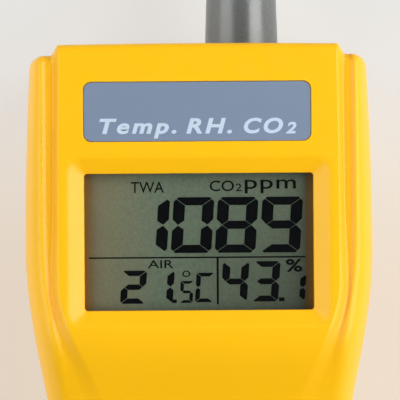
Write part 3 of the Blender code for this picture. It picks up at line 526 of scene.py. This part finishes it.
def back_profile(y, inset, arc_steps):
    """Half of the back's section at y, from the parting line to the middle."""
    half = case_half_width(y)
    rows = []
    for step in range(arc_steps + 1):
        angle = math.pi / 2 * step / arc_steps
        x = half - BACK_ROUND + BACK_ROUND * math.cos(angle)
        share = smooth((CREASE_HALF + 1.6 * MM - x) / (1.7 * MM))
        rows.append((x, BACK_SIDE_Z - BACK_SIDE_Z * math.sin(angle), share))
    for step in range(1, 5):
        rows.append(((half - BACK_ROUND) * (1 - step / 4), 0.0, 1.0))
    return [(max(x - inset, 0.0), z + inset, share) for x, z, share in rows]


def row_places(inset, corner_steps=16, middle_steps=40, turn_steps=9):
    """(y, distance to the bottom end, share along the top corner) for each row, bottom to top."""
    radius = BOTTOM_CORNER - inset
    places = []
    for step in range(corner_steps + 1):
        reach = radius * (1 - math.cos(math.pi / 2 * step / corner_steps))
        places.append((BODY_BOTTOM + inset + reach, reach, 0.0))
    start = places[-1][0]
    for step in range(1, 9):
        places.append((start + (WAIST_Y - start) * step / 8, radius, 0.0))
    for step in range(1, middle_steps + 1):
        places.append((WAIST_Y + (HEAD_WIDEST_Y - WAIST_Y) * step / middle_steps, radius, 0.0))
    last = SHOULDER_END - TOP_CORNER
    for step in range(1, 12):
        places.append((HEAD_WIDEST_Y + (last - HEAD_WIDEST_Y) * step / 12, radius, 0.0))
    for step in range(turn_steps + 1):
        places.append((last, radius, step / turn_steps))
    return places


def case_grid(profile, edge_z, inset, arc_steps=14):
    """Rows of points over one half of the case, each from its right edge to its left edge."""
    grid = []
    top_corner = TOP_CORNER - inset / 2
    for y, from_end, turn in row_places(inset):
        half = case_half_width(y) - inset
        loss = corner_loss(from_end, BOTTOM_CORNER - inset)
        end_drop = corner_loss(from_end * END_EDGE / BOTTOM_CORNER, END_EDGE)
        angle = math.pi / 2 * turn
        corner = top_corner * (1 - math.cos(angle))
        row = []
        for x, z, share in profile(y, inset, arc_steps):
            end_y = SHOULDER_END + (BODY_TOP - BLOCK_CROWN * (x / CREASE_HALF) ** 2 - SHOULDER_END) * share
            reach = end_y - inset - y
            rounding = RAIL_EDGE + (BLOCK_EDGE - RAIL_EDGE) * share
            drop = corner_loss(reach * (1 - math.sin(angle)), rounding) + end_drop
            new_z = max(z - drop, edge_z) if z > edge_z else min(z + drop, edge_z)
            on_rail = min(max((x + inset - VALLEY_HALF) / (half + inset - VALLEY_HALF), 0.0), 1.0)
            new_x = x - loss * x / half - corner * on_rail
            row.append((new_x, y + reach * math.sin(angle), new_z))
        right = [(row[0][0], row[0][1], edge_z)] + row
        left = [(-x, py, pz) for x, py, pz in reversed(right[:-1])]
        grid.append(right + left)
    grid.insert(0, [(x, py, edge_z) for x, py, _ in grid[0]])
    grid.append([(x, py, edge_z) for x, py, _ in grid[-1]])
    return grid


def grid_faces(rows, columns, start, flip):
    faces = []
    for i in range(rows - 1):
        for j in range(columns - 1):
            a = start + i * columns + j
            face = (a, a + 1, a + 1 + columns, a + columns)
            faces.append(tuple(reversed(face)) if flip else face)
    return faces


def rim(rows, columns):
    """The border of a grid of points, as the points' numbers in order."""
    bottom = list(range(columns - 1))
    right = [i * columns + columns - 1 for i in range(rows - 1)]
    top = [(rows - 1) * columns + j for j in range(columns - 1, 0, -1)]
    left = [i * columns for i in range(rows - 1, 0, -1)]
    return bottom + right + top + left


def case_shell(name, profile, edge_z, facing_up, inner_edge_z):
    """A bowl of even wall from one half of the case surface; its rim slopes to the inner edge's height."""
    outer = case_grid(profile, edge_z, 0.0)
    inner = case_grid(profile, inner_edge_z, WALL)
    rows = len(outer)
    columns = len(outer[0])
    points = [p for row in outer for p in row] + [p for row in inner for p in row]
    start = rows * columns
    faces = grid_faces(rows, columns, 0, facing_up) + grid_faces(rows, columns, start, not facing_up)
    loop = rim(rows, columns)
    for a, b in zip(loop, loop[1:] + loop[:1]):
        face = (a, start + a, start + b, b)
        faces.append(tuple(reversed(face)) if facing_up else face)
    return merged(mesh_object(name, points, faces))


def case_core(profile, edge_z, facing_up):
    """The solid inside the outer skin, which trims what stands on the inside."""
    grid = case_grid(profile, edge_z, 0.8 * MM, 6)
    rows = len(grid)
    columns = len(grid[0])
    lid = rim(rows, columns)
    faces = grid_faces(rows, columns, 0, facing_up) + [tuple(lid) if facing_up else tuple(reversed(lid))]
    return merged(mesh_object("core", [p for row in grid for p in row], faces))


def screw_places():
    """(name, x, y) of the case screws, from their CAD boxes."""
    places = []
    for name in sorted(frame["nodes"]):
        if name.startswith("case_screw_"):
            low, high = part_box(name)
            places.append((name, (low.x + high.x) / 2, (low.y + high.y) / 2))
    return places


def key_names():
    return sorted(name for name in frame["nodes"] if name.startswith("key_"))


def probe_bore():
    """The hole in the far end that the probe stands in, with a chamfered mouth."""
    radius = PROBE_BASE_RADIUS + GAP
    mouth = radius + 0.35 * MM
    profile = [(0, BODY_TOP + 2 * MM), (mouth, BODY_TOP + 2 * MM), (mouth, BODY_TOP - 0.3 * MM)]
    profile += [(radius, BODY_TOP - 0.8 * MM), (radius, BODY_TOP - 5 * MM), (0, BODY_TOP - 5 * MM)]
    return lathe(profile, 72, (PROBE_X, 0, PARTING_Z), True)


def window_tool():
    """The display window: an upright wall, then a sloping frame with rounded edges, up to the face."""
    angle = math.degrees(math.atan2(FRAME_DEPTH, FRAME_WIDTH))
    lip = FACE_Z - FRAME_DEPTH
    inner = 0.3 * MM
    short = inner * math.tan(math.radians((90 - angle) / 2))
    rows = [(0, lip - 2.5 * MM)]
    rows += round_edge(inner, 0, 90 - angle, 5, 0, lip - short + inner)
    outer = 3 * MM
    reach = FRAME_WIDTH + outer * math.tan(math.radians(angle / 2))
    for step in range(6):
        turn = math.radians(angle + (3 - angle) * step / 5)
        rows.append((reach - outer * math.sin(turn), FACE_Z - outer + outer * math.cos(turn)))
    rows.append((rows[-1][0] + 1.2 * MM, rows[-1][1] + 1.2 * MM * math.tan(math.radians(3))))
    return hollow(WINDOW_HALF, 0.6 * MM, rows, (0, WINDOW_Y), 0.67)


def edged_hole(half, corner, top, depth, radius, middle):
    """A straight hole whose upper edge is rounded."""
    rows = [(0, top - depth)] + round_edge(radius, 0, 82, 5, 0, top)
    rows.append((rows[-1][0] + 0.5 * MM, rows[-1][1] + 0.5 * MM * math.tan(math.radians(8))))
    return hollow(half, corner, rows, middle)


def case_front():
    shell = case_shell("case_front", front_profile, FRONT_EDGE_Z, True, FRONT_EDGE_Z)
    core = case_core(front_profile, FRONT_EDGE_Z, True)
    tubes = []
    for _, x, y in screw_places():
        profile = [(0, FACE_Z), (BOSS_RADIUS, FACE_Z), (BOSS_RADIUS, FRONT_EDGE_Z), (0, FRONT_EDGE_Z)]
        tubes.append(lathe(profile, 32, (x, y, 0)))
    bosses = solid("bosses", joined(tubes))
    boolean(bosses, core, "INTERSECT")
    boolean(shell, bosses, "UNION")
    tools = [window_tool()]
    tools.append(edged_hole(LABEL_HALF, LABEL_RADIUS, FACE_Z, 0.9 * MM, 0.12 * MM, (LABEL_X, LABEL_Y)))
    hole = [side + KEY_CLEARANCE for side in KEY_HALF]
    for name in key_names():
        low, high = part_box(name)
        middle = ((low.x + high.x) / 2, (low.y + high.y) / 2)
        tools.append(edged_hole(hole, KEY_HALF[1], HANDLE_Z, 4 * MM, 0.35 * MM, middle))
    high, low = PARTING_Z + 11 * MM, PARTING_Z - MM
    for _, x, y in screw_places():
        tools.append(lathe([(0, high), (1.45 * MM, high), (1.45 * MM, low), (0, low)], 24, (x, y, 0)))
    tools.append(probe_bore())
    pocket = [(cover_high.x + GAP), (cover_high.z - cover_low.z) / 2 + GAP]
    middle_z = (cover_high.z + cover_low.z) / 2
    outline = rounded_rect(pocket, 1.8 * MM)
    rings = []
    for y in (BODY_BOTTOM + 1.4 * MM, BODY_BOTTOM - MM):
        rings.append([(x, y, z + middle_z) for x, z in outline])
    tools.append(loft(rings))
    boolean(shell, joined(tools), "DIFFERENCE")
    bores = []
    inside, outside = BODY_BOTTOM + 4 * MM, BODY_BOTTOM - MM
    for x, radius in JACKS:
        profile = [(0, inside), (radius, inside), (radius, outside), (0, outside)]
        bores.append(lathe(profile, 40, (x, 0, JACK_Z), True))
    boolean(shell, joined(bores), "DIFFERENCE")
    return dress(shell, "case", nodes=("front_shell",))


def slot_tool(half, middle, depth):
    """A slot through the back with rounded ends and a softened rim."""
    rows = [(0.35 * MM, -MM), (0.35 * MM, 0), (0, 0.35 * MM), (0, depth)]
    return hollow(half, min(half), rows, middle)


def case_back():
    shell = case_shell("case_back", back_profile, BACK_EDGE_Z, False, FRONT_EDGE_Z - 0.02 * MM)
    core = case_core(back_profile, BACK_EDGE_Z, False)
    tubes = []
    for _, x, y in screw_places():
        radius = BOSS_RADIUS + 0.8 * MM
        tubes.append(lathe([(0, BACK_EDGE_Z), (radius, BACK_EDGE_Z), (radius, 0), (0, 0)], 32, (x, y, 0)))
    bosses = solid("bosses", joined(tubes))
    boolean(bosses, core, "INTERSECT")
    boolean(shell, bosses, "UNION")
    tools = []
    for _, x, y in screw_places():
        profile = [(0, PARTING_Z + MM), (1.6 * MM, PARTING_Z + MM), (1.6 * MM, SCREW_SEAT_Z)]
        profile += [(3.0 * MM, SCREW_SEAT_Z), (3.0 * MM, 0.4 * MM), (3.4 * MM, 0), (3.4 * MM, -MM), (0, -MM)]
        tools.append(lathe(profile, 40, (x, y, 0)))
    seat = ((door_high.x - door_low.x) / 2 + 0.25 * MM, (door_high.y - door_low.y) / 2 + 0.25 * MM)
    middle_y = (door_high.y + door_low.y) / 2
    outline = rounded_rect(seat, 0.6 * MM, 3)
    wide = rounded_rect([side + 0.3 * MM for side in seat], 0.9 * MM, 3)
    bay_low, bay_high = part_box("battery_holder")
    bay = ((bay_high.x - bay_low.x) / 2 - 0.9 * MM, (bay_high.y - bay_low.y) / 2 - 1.3 * MM)
    shift = (bay_high.y + bay_low.y) / 2 - middle_y
    opening = [(x, y + shift) for x, y in rounded_rect(bay, 0.6 * MM, 3)]
    floor_z = door_high.z + 0.3 * MM
    layers = [(wide, -MM), (wide, 0), (outline, 0.3 * MM), (outline, floor_z)]
    layers += [(opening, floor_z), (opening, WALL + MM)]
    tools.append(stack(layers, (0, middle_y)))
    for step in range(5):
        tools.append(slot_tool((9 * MM, 1 * MM), (0, 15 * MM + step * 5 * MM), WALL + MM))
    for step in range(3):
        tools.append(slot_tool((0.6 * MM, 4 * MM), (9.6 * MM + step * 3 * MM, -12 * MM), WALL + MM))
    tools.append(probe_bore())
    boolean(shell, joined(tools), "DIFFERENCE")
    screw_low, screw_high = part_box("battery_door_screw")
    y = (screw_low.y + screw_high.y) / 2
    profile = [(0, 11 * MM), (2.4 * MM, 11 * MM), (2.4 * MM, 2 * MM), (0, 2 * MM)]
    boolean(shell, lathe(profile, 32, (0, y, 0)), "UNION")
    profile = [(0, 9 * MM), (1.25 * MM, 9 * MM), (1.25 * MM, 0), (0, 0)]
    boolean(shell, lathe(profile, 24, (0, y, 0)), "DIFFERENCE")
    return dress(shell, "case", nodes=("rear_shell",))


def battery_door():
    half = ((door_high.x - door_low.x) / 2, (door_high.y - door_low.y) / 2)
    middle = (0, (door_high.y + door_low.y) / 2)
    low, high = door_low.z, door_high.z
    rows = [(-0.35 * MM, low), (-0.1 * MM, low + 0.1 * MM), (0, low + 0.35 * MM), (0, high)]
    door = solid("door_panel", hollow(half, 0.6 * MM, rows, middle))
    tools = []
    for step in range(4):
        y = -43.5 * MM + step * 2.4 * MM
        rows = [(0.25 * MM, -MM), (0.25 * MM, low), (0, low + 0.2 * MM), (0, 0.5 * MM)]
        tools.append(hollow((8 * MM, 0.5 * MM), 0.5 * MM, rows, (0, y)))
    screw_low, screw_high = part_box("battery_door_screw")
    y = (screw_low.y + screw_high.y) / 2
    profile = [(0, 3 * MM), (1.4 * MM, 3 * MM), (1.4 * MM, 1.2 * MM), (2.7 * MM, 1.2 * MM)]
    profile += [(2.7 * MM, low + 0.2 * MM), (2.9 * MM, low), (2.9 * MM, -MM), (0, -MM)]
    tools.append(lathe(profile, 40, (0, y, 0)))
    boolean(door, joined(tools), "DIFFERENCE")
    return dress(door, "case", body="battery_door", nodes=("battery_door",))


def screw(name, node_name, head_radius, head_height, shaft_radius, body):
    """A pan-head screw with a cross recess, its head at the bottom of its CAD box."""
    low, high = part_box(node_name)
    x, y = (low.x + high.x) / 2, (low.y + high.y) / 2
    base, tip = low.z, high.z
    profile = [(0, tip), (shaft_radius * 0.5, tip), (shaft_radius, tip - 0.8 * MM)]
    thread = base + head_height + 0.6 * MM
    turns = int((tip - 1.4 * MM - thread) / (0.8 * MM))
    for step in range(turns):
        z = tip - 1.2 * MM - step * 0.8 * MM
        profile += [(shaft_radius, z), (shaft_radius * 0.8, z - 0.3 * MM), (shaft_radius * 0.8, z - 0.5 * MM)]
    profile += [(shaft_radius, base + head_height), (head_radius, base + head_height)]
    for step in range(6):
        angle = math.pi / 2 * step / 5
        radius = head_radius * (0.72 + 0.28 * math.cos(angle))
        profile.append((radius, base + head_height * 0.6 * (1 - math.sin(angle))))
    profile.append((0, base))
    made = solid(name, lathe(profile, 40, (x, y, 0)))
    reach, width = head_radius * 0.58, head_radius * 0.12
    cross = [(width, -reach), (width, -width), (reach, -width)]
    cross += [(reach, width), (width, width), (width, reach)]
    cross += [(-px, -py) for px, py in cross]
    narrow = [(px * 0.55, py * 0.55) for px, py in cross]
    layers = [(cross, base - MM), (cross, base), (narrow, base + head_height * 0.6)]
    boolean(made, stack(layers, (x, y)), "DIFFERENCE")
    return dress(made, "steel", body=body, nodes=(node_name,))


# ---- Label and display --------------------------------------------------------------------


def lettering(text, box, spacing=1.0, shear=0.0, bold=0.0, thick=0.01 * MM):
    """Points and faces of text in the built-in typeface, stretched to (x0, x1, y0, y1)."""
    data = bpy.data.curves.new("text", "FONT")
    data.body = text
    data.size = 1.0
    data.space_character = spacing
    data.shear = shear
    data.offset = bold
    data.extrude = 0.5
    data.resolution_u = 6
    item = bpy.data.objects.new("text", data)
    bpy.context.scene.collection.objects.link(item)
    graph = bpy.context.evaluated_depsgraph_get()
    mesh = bpy.data.meshes.new_from_object(item.evaluated_get(graph))
    places = [tuple(v.co) for v in mesh.vertices]
    faces = [tuple(p.vertices) for p in mesh.polygons]
    bpy.data.objects.remove(item, do_unlink=True)
    left, right = min(p[0] for p in places), max(p[0] for p in places)
    low, high = min(p[1] for p in places), max(p[1] for p in places)
    scale_x = (box[1] - box[0]) / (right - left)
    scale_y = (box[3] - box[2]) / (high - low)
    points = []
    for x, y, z in places:
        points.append((box[0] + (x - left) * scale_x, box[2] + (y - low) * scale_y, z * 2 * thick))
    return points, faces


def moved(shape, x, y, z):
    return [(a + x, b + y, c + z) for a, b, c in shape[0]], shape[1]


def label():
    half = ((plate_high.x - plate_low.x) / 2, (plate_high.y - plate_low.y) / 2)
    low, high = plate_low.z, plate_high.z
    rows = [(0.1 * MM, low), (0.1 * MM, high - 0.1 * MM), (0.07 * MM, high - 0.03 * MM), (0, high)]
    piece("label", hollow(half, LABEL_RADIUS, rows, (LABEL_X, LABEL_Y)), "label", nodes=("label_plate",))
    base = -half[1] + 1.30 * MM
    cap = 3.10 * MM
    words = [
        ("Temp.", (-19.35, -4.25), -0.85 * MM, cap),
        ("RH.", (-2.35, 6.60), 0.0, cap),
        ("CO", (8.90, 16.60), 0.0, cap),
        ("2", (17.10, 19.20), -0.05 * MM, 2.25 * MM),
    ]
    parts = []
    for text, (x0, x1), drop, height in words:
        box = (x0 * MM, x1 * MM, base + drop, base + height)
        parts.append(moved(lettering(text, box, 1.26, 0.22, 0.036), 0, LABEL_Y, high + 0.01 * MM))
    piece("label_lettering", joined(parts), "print", slot="label", weighted=False)


SEGMENTS = {
    "0": "abcdef", "1": "bc", "2": "abged", "3": "abgcd", "4": "fgbc", "5": "afgcd",
    "8": "abcdefg", "9": "abcdfg", "C": "adef",
}


def segments(wide, tall, upright, bar, gap, corner):
    """The seven segments of a digit as outlines, before its slant, with its lower left corner at 0."""
    mid = tall / 2
    run = math.hypot(upright, bar)
    share = corner / (upright + bar)
    mitre_x, mitre_y = share * upright, share * bar
    along = gap * run / (upright + bar)
    flat, steep = gap * run / bar, gap * run / upright
    tip = 0.47 * upright
    end = tip + gap * 1.6
    shoulder = upright + gap * 0.8
    top = [
        (corner, tall), (mitre_x + along, tall - mitre_y + along),
        (upright + flat, tall - bar), (wide - upright - flat, tall - bar),
        (wide - mitre_x - along, tall - mitre_y + along), (wide - corner, tall),
    ]
    side = [
        (wide, tall - corner), (wide - mitre_x + along, tall - mitre_y - along),
        (wide - upright, tall - bar - steep), (wide - upright, mid + bar / 2 + steep),
        (wide - tip, mid + gap * 1.4), (wide, mid + bar / 2 + 0.15 * upright),
    ]
    middle = [
        (end, mid), (shoulder, mid - bar / 2), (wide - shoulder, mid - bar / 2),
        (wide - end, mid), (wide - shoulder, mid + bar / 2), (shoulder, mid + bar / 2),
    ]

    def turned(outline, flip_x, flip_y):
        made = [(wide - x if flip_x else x, tall - y if flip_y else y) for x, y in outline]
        return made[::-1] if flip_x != flip_y else made

    shapes = {"a": top, "b": side[::-1], "g": middle}
    shapes["c"] = turned(shapes["b"], False, True)
    shapes["f"] = turned(shapes["b"], True, False)
    shapes["e"] = turned(shapes["b"], True, True)
    shapes["d"] = turned(top, False, True)
    return shapes


def digits(text, rights, base, tall, wide, upright, bar, slant, gap=0.055 * MM, corner=0.38):
    """Digit outlines by the x of each one's right side at half height."""
    outlines = []
    shapes = segments(wide, tall, upright, bar, gap, corner * upright)
    for letter, right in zip(text, rights):
        for key in SEGMENTS[letter]:
            outline = []
            for x, y in shapes[key]:
                lean = (y - tall / 2) * math.tan(math.radians(slant))
                outline.append((right * MM - wide + x + lean, base * MM + y))
            outlines.append(outline)
    return outlines


def rectangle(x, y, wide, tall):
    return [
        (x * MM - wide / 2, y * MM - tall / 2), (x * MM + wide / 2, y * MM - tall / 2),
        (x * MM + wide / 2, y * MM + tall / 2), (x * MM - wide / 2, y * MM + tall / 2),
    ]


def display_marks():
    """Everything the display shows, as thin dark shapes on the glass."""
    rights = (-6.0, 2.75, 11.45, 20.25)
    outlines = digits("1089", rights, -2.24, 11.0 * MM, 8.0 * MM, 2.29 * MM, 1.6 * MM, 3.8)
    outlines += digits("21", (-10.5, -5.05), -12.19, 6.53 * MM, 4.96 * MM, 1.35 * MM, 1.05 * MM, 3.8)
    outlines += digits("5", (-1.22,), -12.07, 4.3 * MM, 2.57 * MM, 0.68 * MM, 0.53 * MM, 3.8)
    outlines += digits("C", (2.86,), -11.97, 5.8 * MM, 3.56 * MM, 0.9 * MM, 0.73 * MM, 3.8)
    outlines += digits("43", (9.65, 15.8), -11.9, 7.94 * MM, 5.2 * MM, 1.5 * MM, 1.15 * MM, 4.0)
    outlines += digits("1", (20.95,), -11.8, 5.2 * MM, 2.6 * MM, 1.1 * MM, 0.8 * MM, 3.8)
    outlines.append(rectangle(-4.9, -11.75, 0.9 * MM, 0.67 * MM))
    outlines.append(rectangle(16.25, -11.5, 1.1 * MM, 0.75 * MM))
    outlines.append(rectangle(-0.42, -3.13, 42.75 * MM, 0.29 * MM))
    outlines.append(rectangle(3.65, -7.77, 0.38 * MM, 9.27 * MM))
    thick = 0.02 * MM
    parts = [stack([(outline, 0), (outline, thick)]) for outline in outlines]
    ring = [(0.79 * MM, thick), (0.79 * MM, 0), (0.53 * MM, 0), (0.53 * MM, thick), (0.79 * MM, thick)]
    points, faces = lathe(ring, 32)
    parts.append(moved(([(x, 0.8 * y, z) for x, y, z in points], faces), -2.55 * MM, -6.35 * MM, 0))
    words = [
        ("TWA", (-13.4, -6.85, 9.66, 11.84), 1.0, 0.004),
        ("CO", (2.2, 6.97, 9.9, 12.0), 1.0, 0.006),
        ("2", (7.3, 8.5, 9.9, 11.4), 1.0, 0.004),
        ("ppm", (9.1, 19.2, 9.45, 12.15), 1.08, 0.006),
        ("AIR", (-10.1, -5.1, -5.2, -3.61), 1.0, 0.004),
        ("%", (17.1, 20.37, -6.1, -3.55), 1.0, 0.022),
    ]
    for text, box, spacing, bold in words:
        parts.append(lettering(text, [side * MM for side in box], spacing, 0.0, bold))
    shape = moved(joined(parts), 0, WINDOW_Y, GLASS_TOP + 0.02 * MM)
    piece("display_marks", shape, "ink", slot="display", weighted=False)


# ---- Keys, probe, cover, cells ------------------------------------------------------------


def key(name):
    """A rubber key: hidden flange, oval cap, rounded brow and a slightly dished top."""
    low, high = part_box(name)
    middle = ((low.x + high.x) / 2, (low.y + high.y) / 2)
    flange_top = low.z + 0.8 * MM
    rows = [(1 * MM, low.z), (1 * MM, flange_top), (0, flange_top), (0, KEY_TOP - 1.0 * MM)]
    for step in range(1, 9):
        angle = math.pi / 2 * step / 8
        rows.append((-0.9 * MM * (1 - math.cos(angle)), KEY_TOP - 1.0 * MM + 1.0 * MM * math.sin(angle)))
    for share in (0.3, 0.6, 0.85):
        rows.append((-0.9 * MM - 3.2 * MM * share, KEY_TOP - 0.35 * MM * smooth(share)))
    layers = []
    for offset, z in rows:
        half = [side + offset for side in KEY_HALF]
        layers.append((rounded_rect(half, half[1] - 0.02 * MM, 10), z))
    piece(name + "_cap", stack(layers, middle), "rubber", body=name, nodes=(name,))


def probe_radius(y):
    return PROBE_BASE_RADIUS - PROBE_TAPER * (y - BODY_TOP)


def probe():
    """The tapered tube with its hidden flange, and the slotted cap on its end."""
    inside = BODY_TOP - WALL - GAP - BLOCK_CROWN
    bore = 4.6 * MM
    flange = (tube_high.x - tube_low.x) / 2
    top = probe_radius(CAP_START)
    profile = [(bore, CAP_START), (top - 0.4 * MM, CAP_START), (top - 0.12 * MM, CAP_START - 0.12 * MM)]
    profile += [(top, CAP_START - 0.4 * MM)]
    for step in range(1, 8):
        y = CAP_START + (BODY_TOP - CAP_START) * step / 8
        profile.append((probe_radius(y), y))
    profile += [(PROBE_BASE_RADIUS, BODY_TOP), (PROBE_BASE_RADIUS, inside), (flange, inside)]
    profile += [(flange, tube_low.y), (bore, tube_low.y), (bore, CAP_START)]
    piece("probe_barrel", lathe(profile, 96, (PROBE_X, 0, PARTING_Z), True), "probe", nodes=("probe_tube",))
    start = cap_low.y
    radius = probe_radius(start)
    end = radius - 0.9 * MM
    dome = 4.5 * MM
    profile = [(0, PROBE_TIP)]
    for step in range(1, 13):
        angle = math.pi / 2 * step / 12
        profile.append((end * math.sin(angle), PROBE_TIP - dome * (1 - math.cos(angle))))
    profile += [(radius, start + 0.4 * MM), (radius - 0.12 * MM, start + 0.12 * MM)]
    profile += [(radius - 0.4 * MM, start), (radius - 1.5 * MM, start)]
    profile += [(end - 1.5 * MM, PROBE_TIP - dome), (0, PROBE_TIP - dome + 1.5 * MM)]
    cap = solid("probe_tip", lathe(profile, 96, (PROBE_X, 0, PARTING_Z), True))
    low_y, high_y = start + 4 * MM, PROBE_TIP - dome - 2.5 * MM
    outline = rounded_rect((0.9 * MM, (high_y - low_y) / 2), 0.88 * MM, 6)
    tools = []
    for step in range(6):
        angle = math.pi / 3 * step + math.pi / 6
        rings = []
        for reach in (3 * MM, 10 * MM):
            ring = []
            for across, along in outline:
                x = PROBE_X + reach * math.cos(angle) - across * math.sin(angle)
                z = PARTING_Z + reach * math.sin(angle) + across * math.cos(angle)
                ring.append((x, along + (low_y + high_y) / 2, z))
            rings.append(ring[::-1])
        tools.append(loft(rings))
    boolean(cap, joined(tools), "DIFFERENCE")
    dress(cap, "probe", nodes=("probe_cap",))


def socket_cover():
    """The rubber flap over the sockets, with softened edges and a raised pull along its top."""
    half = ((cover_high.x - cover_low.x) / 2, (cover_high.z - cover_low.z) / 2)
    middle_z = (cover_high.z + cover_low.z) / 2
    inner, outer = cover_high.y, cover_low.y
    rings = []
    for offset, y in ((0, inner), (0, outer + 0.3 * MM), (-0.09 * MM, outer + 0.09 * MM), (-0.3 * MM, outer)):
        outline = rounded_rect([side + offset for side in half], 1.5 * MM + offset)
        rings.append([(x, y, z + middle_z) for x, z in outline])
    outline = [(x, z + 2.6 * MM) for x, z in rounded_rect((5 * MM, 0.6 * MM), 0.55 * MM)]
    grooves = []
    for shift in (0, -1.8 * MM):
        ring = [[(x, y, z + middle_z + shift) for x, z in outline] for y in (outer + 0.35 * MM, outer - MM)]
        grooves.append(loft(ring))
    cover = solid("socket_cover", loft(rings))
    boolean(cover, joined(grooves), "DIFFERENCE")
    dress(cover, "rubber", body="jack_cover", nodes=("jack_cover",))


def cell(name):
    """A plain AA cell, made about its own middle so that its wrapper's band follows its raised end."""
    low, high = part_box(name)
    half = (high.y - low.y) / 2
    radius = (high.x - low.x) / 2
    can = half - 1.2 * MM
    profile = [(0, half), (2.5 * MM, half), (2.7 * MM, half - 0.2 * MM), (2.7 * MM, can)]
    profile += [(radius - 0.9 * MM, can), (radius - 0.3 * MM, can - 0.1 * MM)]
    profile += [(radius, can - 0.5 * MM), (radius, 0.5 * MM - half)]
    profile += [(radius - 0.2 * MM, 0.1 * MM - half), (radius - 0.8 * MM, -half), (0, -half)]
    made = solid("battery_" + name, lathe(profile, 48))
    raised_up = name in ("cell_outer_left", "cell_inner_right")
    made.rotation_euler = (-math.pi / 2 if raised_up else math.pi / 2, 0, 0)
    made.location = ((low.x + high.x) / 2, (low.y + high.y) / 2, (low.z + high.z) / 2)
    dress(made, "cell_wrap", nodes=(name,))


def cad_finishes():
    """Materials, softened edges and smooth shading for the CAD nodes that are shown as they are."""
    slots = {entry["node"]: entry["material_slot"] for entry in frame["record"]["subparts"]}
    for name, item in frame["nodes"].items():
        if item.hide_render:
            continue
        item.data.materials.clear()
        item.data.materials.append(FINISH[slots[name]])
        item.modifiers.new("weld", "WELD").merge_threshold = 0.000002
        smooth_step = item.modifiers.new("edges", "BEVEL")
        smooth_step.width = 0.08 * MM
        smooth_step.segments = 2
        smooth_step.limit_method = "ANGLE"
        smooth_step.angle_limit = math.radians(40)
        smooth_step.harden_normals = True


# ---- Floor, light and camera --------------------------------------------------------------


def floor():
    """A sheet of paper that glows with painted light, so that it shows almost no shadow; cool white on the
    far side and warm on the near side.
    """
    side = 2.5
    corners = [(-side, -side, 0), (side, -side, 0), (side, side, 0), (-side, side, 0)]
    made = mesh_object("floor", corners, [(0, 1, 2, 3)])
    paper = surface("glowing_backdrop_paper", (0.20, 0.198, 0.193), 0.7, shade=0.015, shade_scale=25.0,
                    wear=0.0, grain=0.03)
    tree = paper.node_tree
    shader = tree.nodes["Principled BSDF"]
    body = shader.inputs["Base Color"].links[0].from_socket
    place = tree.nodes.new("ShaderNodeTexCoord").outputs["Object"]
    along = node(tree, "ShaderNodeSeparateXYZ", {0: place}).outputs["Y"]
    ends = {"Value": along, "From Min": -4 * MM, "From Max": 57 * MM, "To Min": 1.0, "To Max": 0.0}
    warm = node(tree, "ShaderNodeMapRange", ends, interpolation_type="SMOOTHSTEP").outputs["Result"]
    tint = mixed(tree, warm, body, (0.20, 0.178, 0.153, 1))
    tree.links.new(tint, shader.inputs["Base Color"])
    # Painted light: the paper glows in its own tint, warmer on the near side, which fills in its shadows
    tree.links.new(tint, shader.inputs["Emission Color"])
    shader.inputs["Emission Strength"].default_value = 2.95
    made.data.materials.append(paper)


def softbox(name, angle, distance, size, power, colour, target, toward_y=0.0):
    """A large area light, angle degrees from straight up towards +X, aimed at the target."""
    data = bpy.data.lights.new(name, "AREA")
    data.shape = "RECTANGLE"
    data.size = size[0]
    data.size_y = size[1]
    data.energy = power
    data.color = colour
    item = bpy.data.objects.new(name, data)
    bpy.context.scene.collection.objects.link(item)
    turn = math.radians(angle)
    lean = math.radians(toward_y)
    x = math.sin(turn) * math.cos(lean)
    y = math.sin(lean)
    z = math.cos(turn) * math.cos(lean)
    item.location = (target[0] + distance * x, target[1] + distance * y, target[2] + distance * z)
    direction = item.location.copy()
    direction.x -= target[0]
    direction.y -= target[1]
    direction.z -= target[2]
    item.rotation_euler = direction.to_track_quat("Z", "Y").to_euler()


def lights():
    """Two softboxes above the sides, two low ones for the rails and a faint one past the far end."""
    target = (0, 22 * MM, 40 * MM)
    softbox("key_right", 49, 0.5, (0.72, 0.37), 3.55, (1.0, 1.0, 0.99), target, 4)
    softbox("fill_left", -51, 0.5, (0.72, 0.37), 2.05, (0.98, 0.99, 1.0), target, 4)
    softbox("low_right", 82, 0.5, (0.9, 0.22), 0.45, (1.0, 0.99, 0.96), target)
    softbox("low_left", -82, 0.5, (0.9, 0.22), 0.55, (1.0, 0.99, 0.96), target)
    softbox("far_side", 0, 1.1, (1.2, 0.4), 0.15, (0.97, 0.98, 1.0), target, 55)
    world = bpy.data.worlds.new("studio")
    world.use_nodes = True
    world.node_tree.nodes["Background"].inputs["Color"].default_value = (0.95, 0.93, 0.90, 1)
    world.node_tree.nodes["Background"].inputs["Strength"].default_value = 0.08
    bpy.context.scene.world = world


def camera():
    """A long lens straight above the display head, turned slightly."""
    data = bpy.data.cameras.new("camera")
    data.lens = 193.4
    data.sensor_width = 36
    data.clip_start = 0.05
    data.clip_end = 20
    item = bpy.data.objects.new("camera", data)
    item.location = (0.25 * MM, 21.9 * MM, FACE_Z + 0.42)
    item.rotation_euler = (0, 0, math.radians(-0.4))
    bpy.context.scene.collection.objects.link(item)
    bpy.context.scene.camera = item


case_front()
case_back()
battery_door()
for screw_name, _, _ in screw_places():
    screw(screw_name.replace("case_screw", "screw"), screw_name, 2.7 * MM, 2.0 * MM, 1.3 * MM, "case")
screw("door_screw", "battery_door_screw", 2.4 * MM, 0.75 * MM, 1.0 * MM, "battery_door")
label()
display_marks()
for key_name in key_names():
    key(key_name)
probe()
socket_cover()
for cell_name in ("cell_outer_left", "cell_outer_right", "cell_inner_left", "cell_inner_right"):
    cell(cell_name)
cad_finishes()
floor()
lights()
camera()
bpy.context.scene.view_settings.view_transform = "Standard"
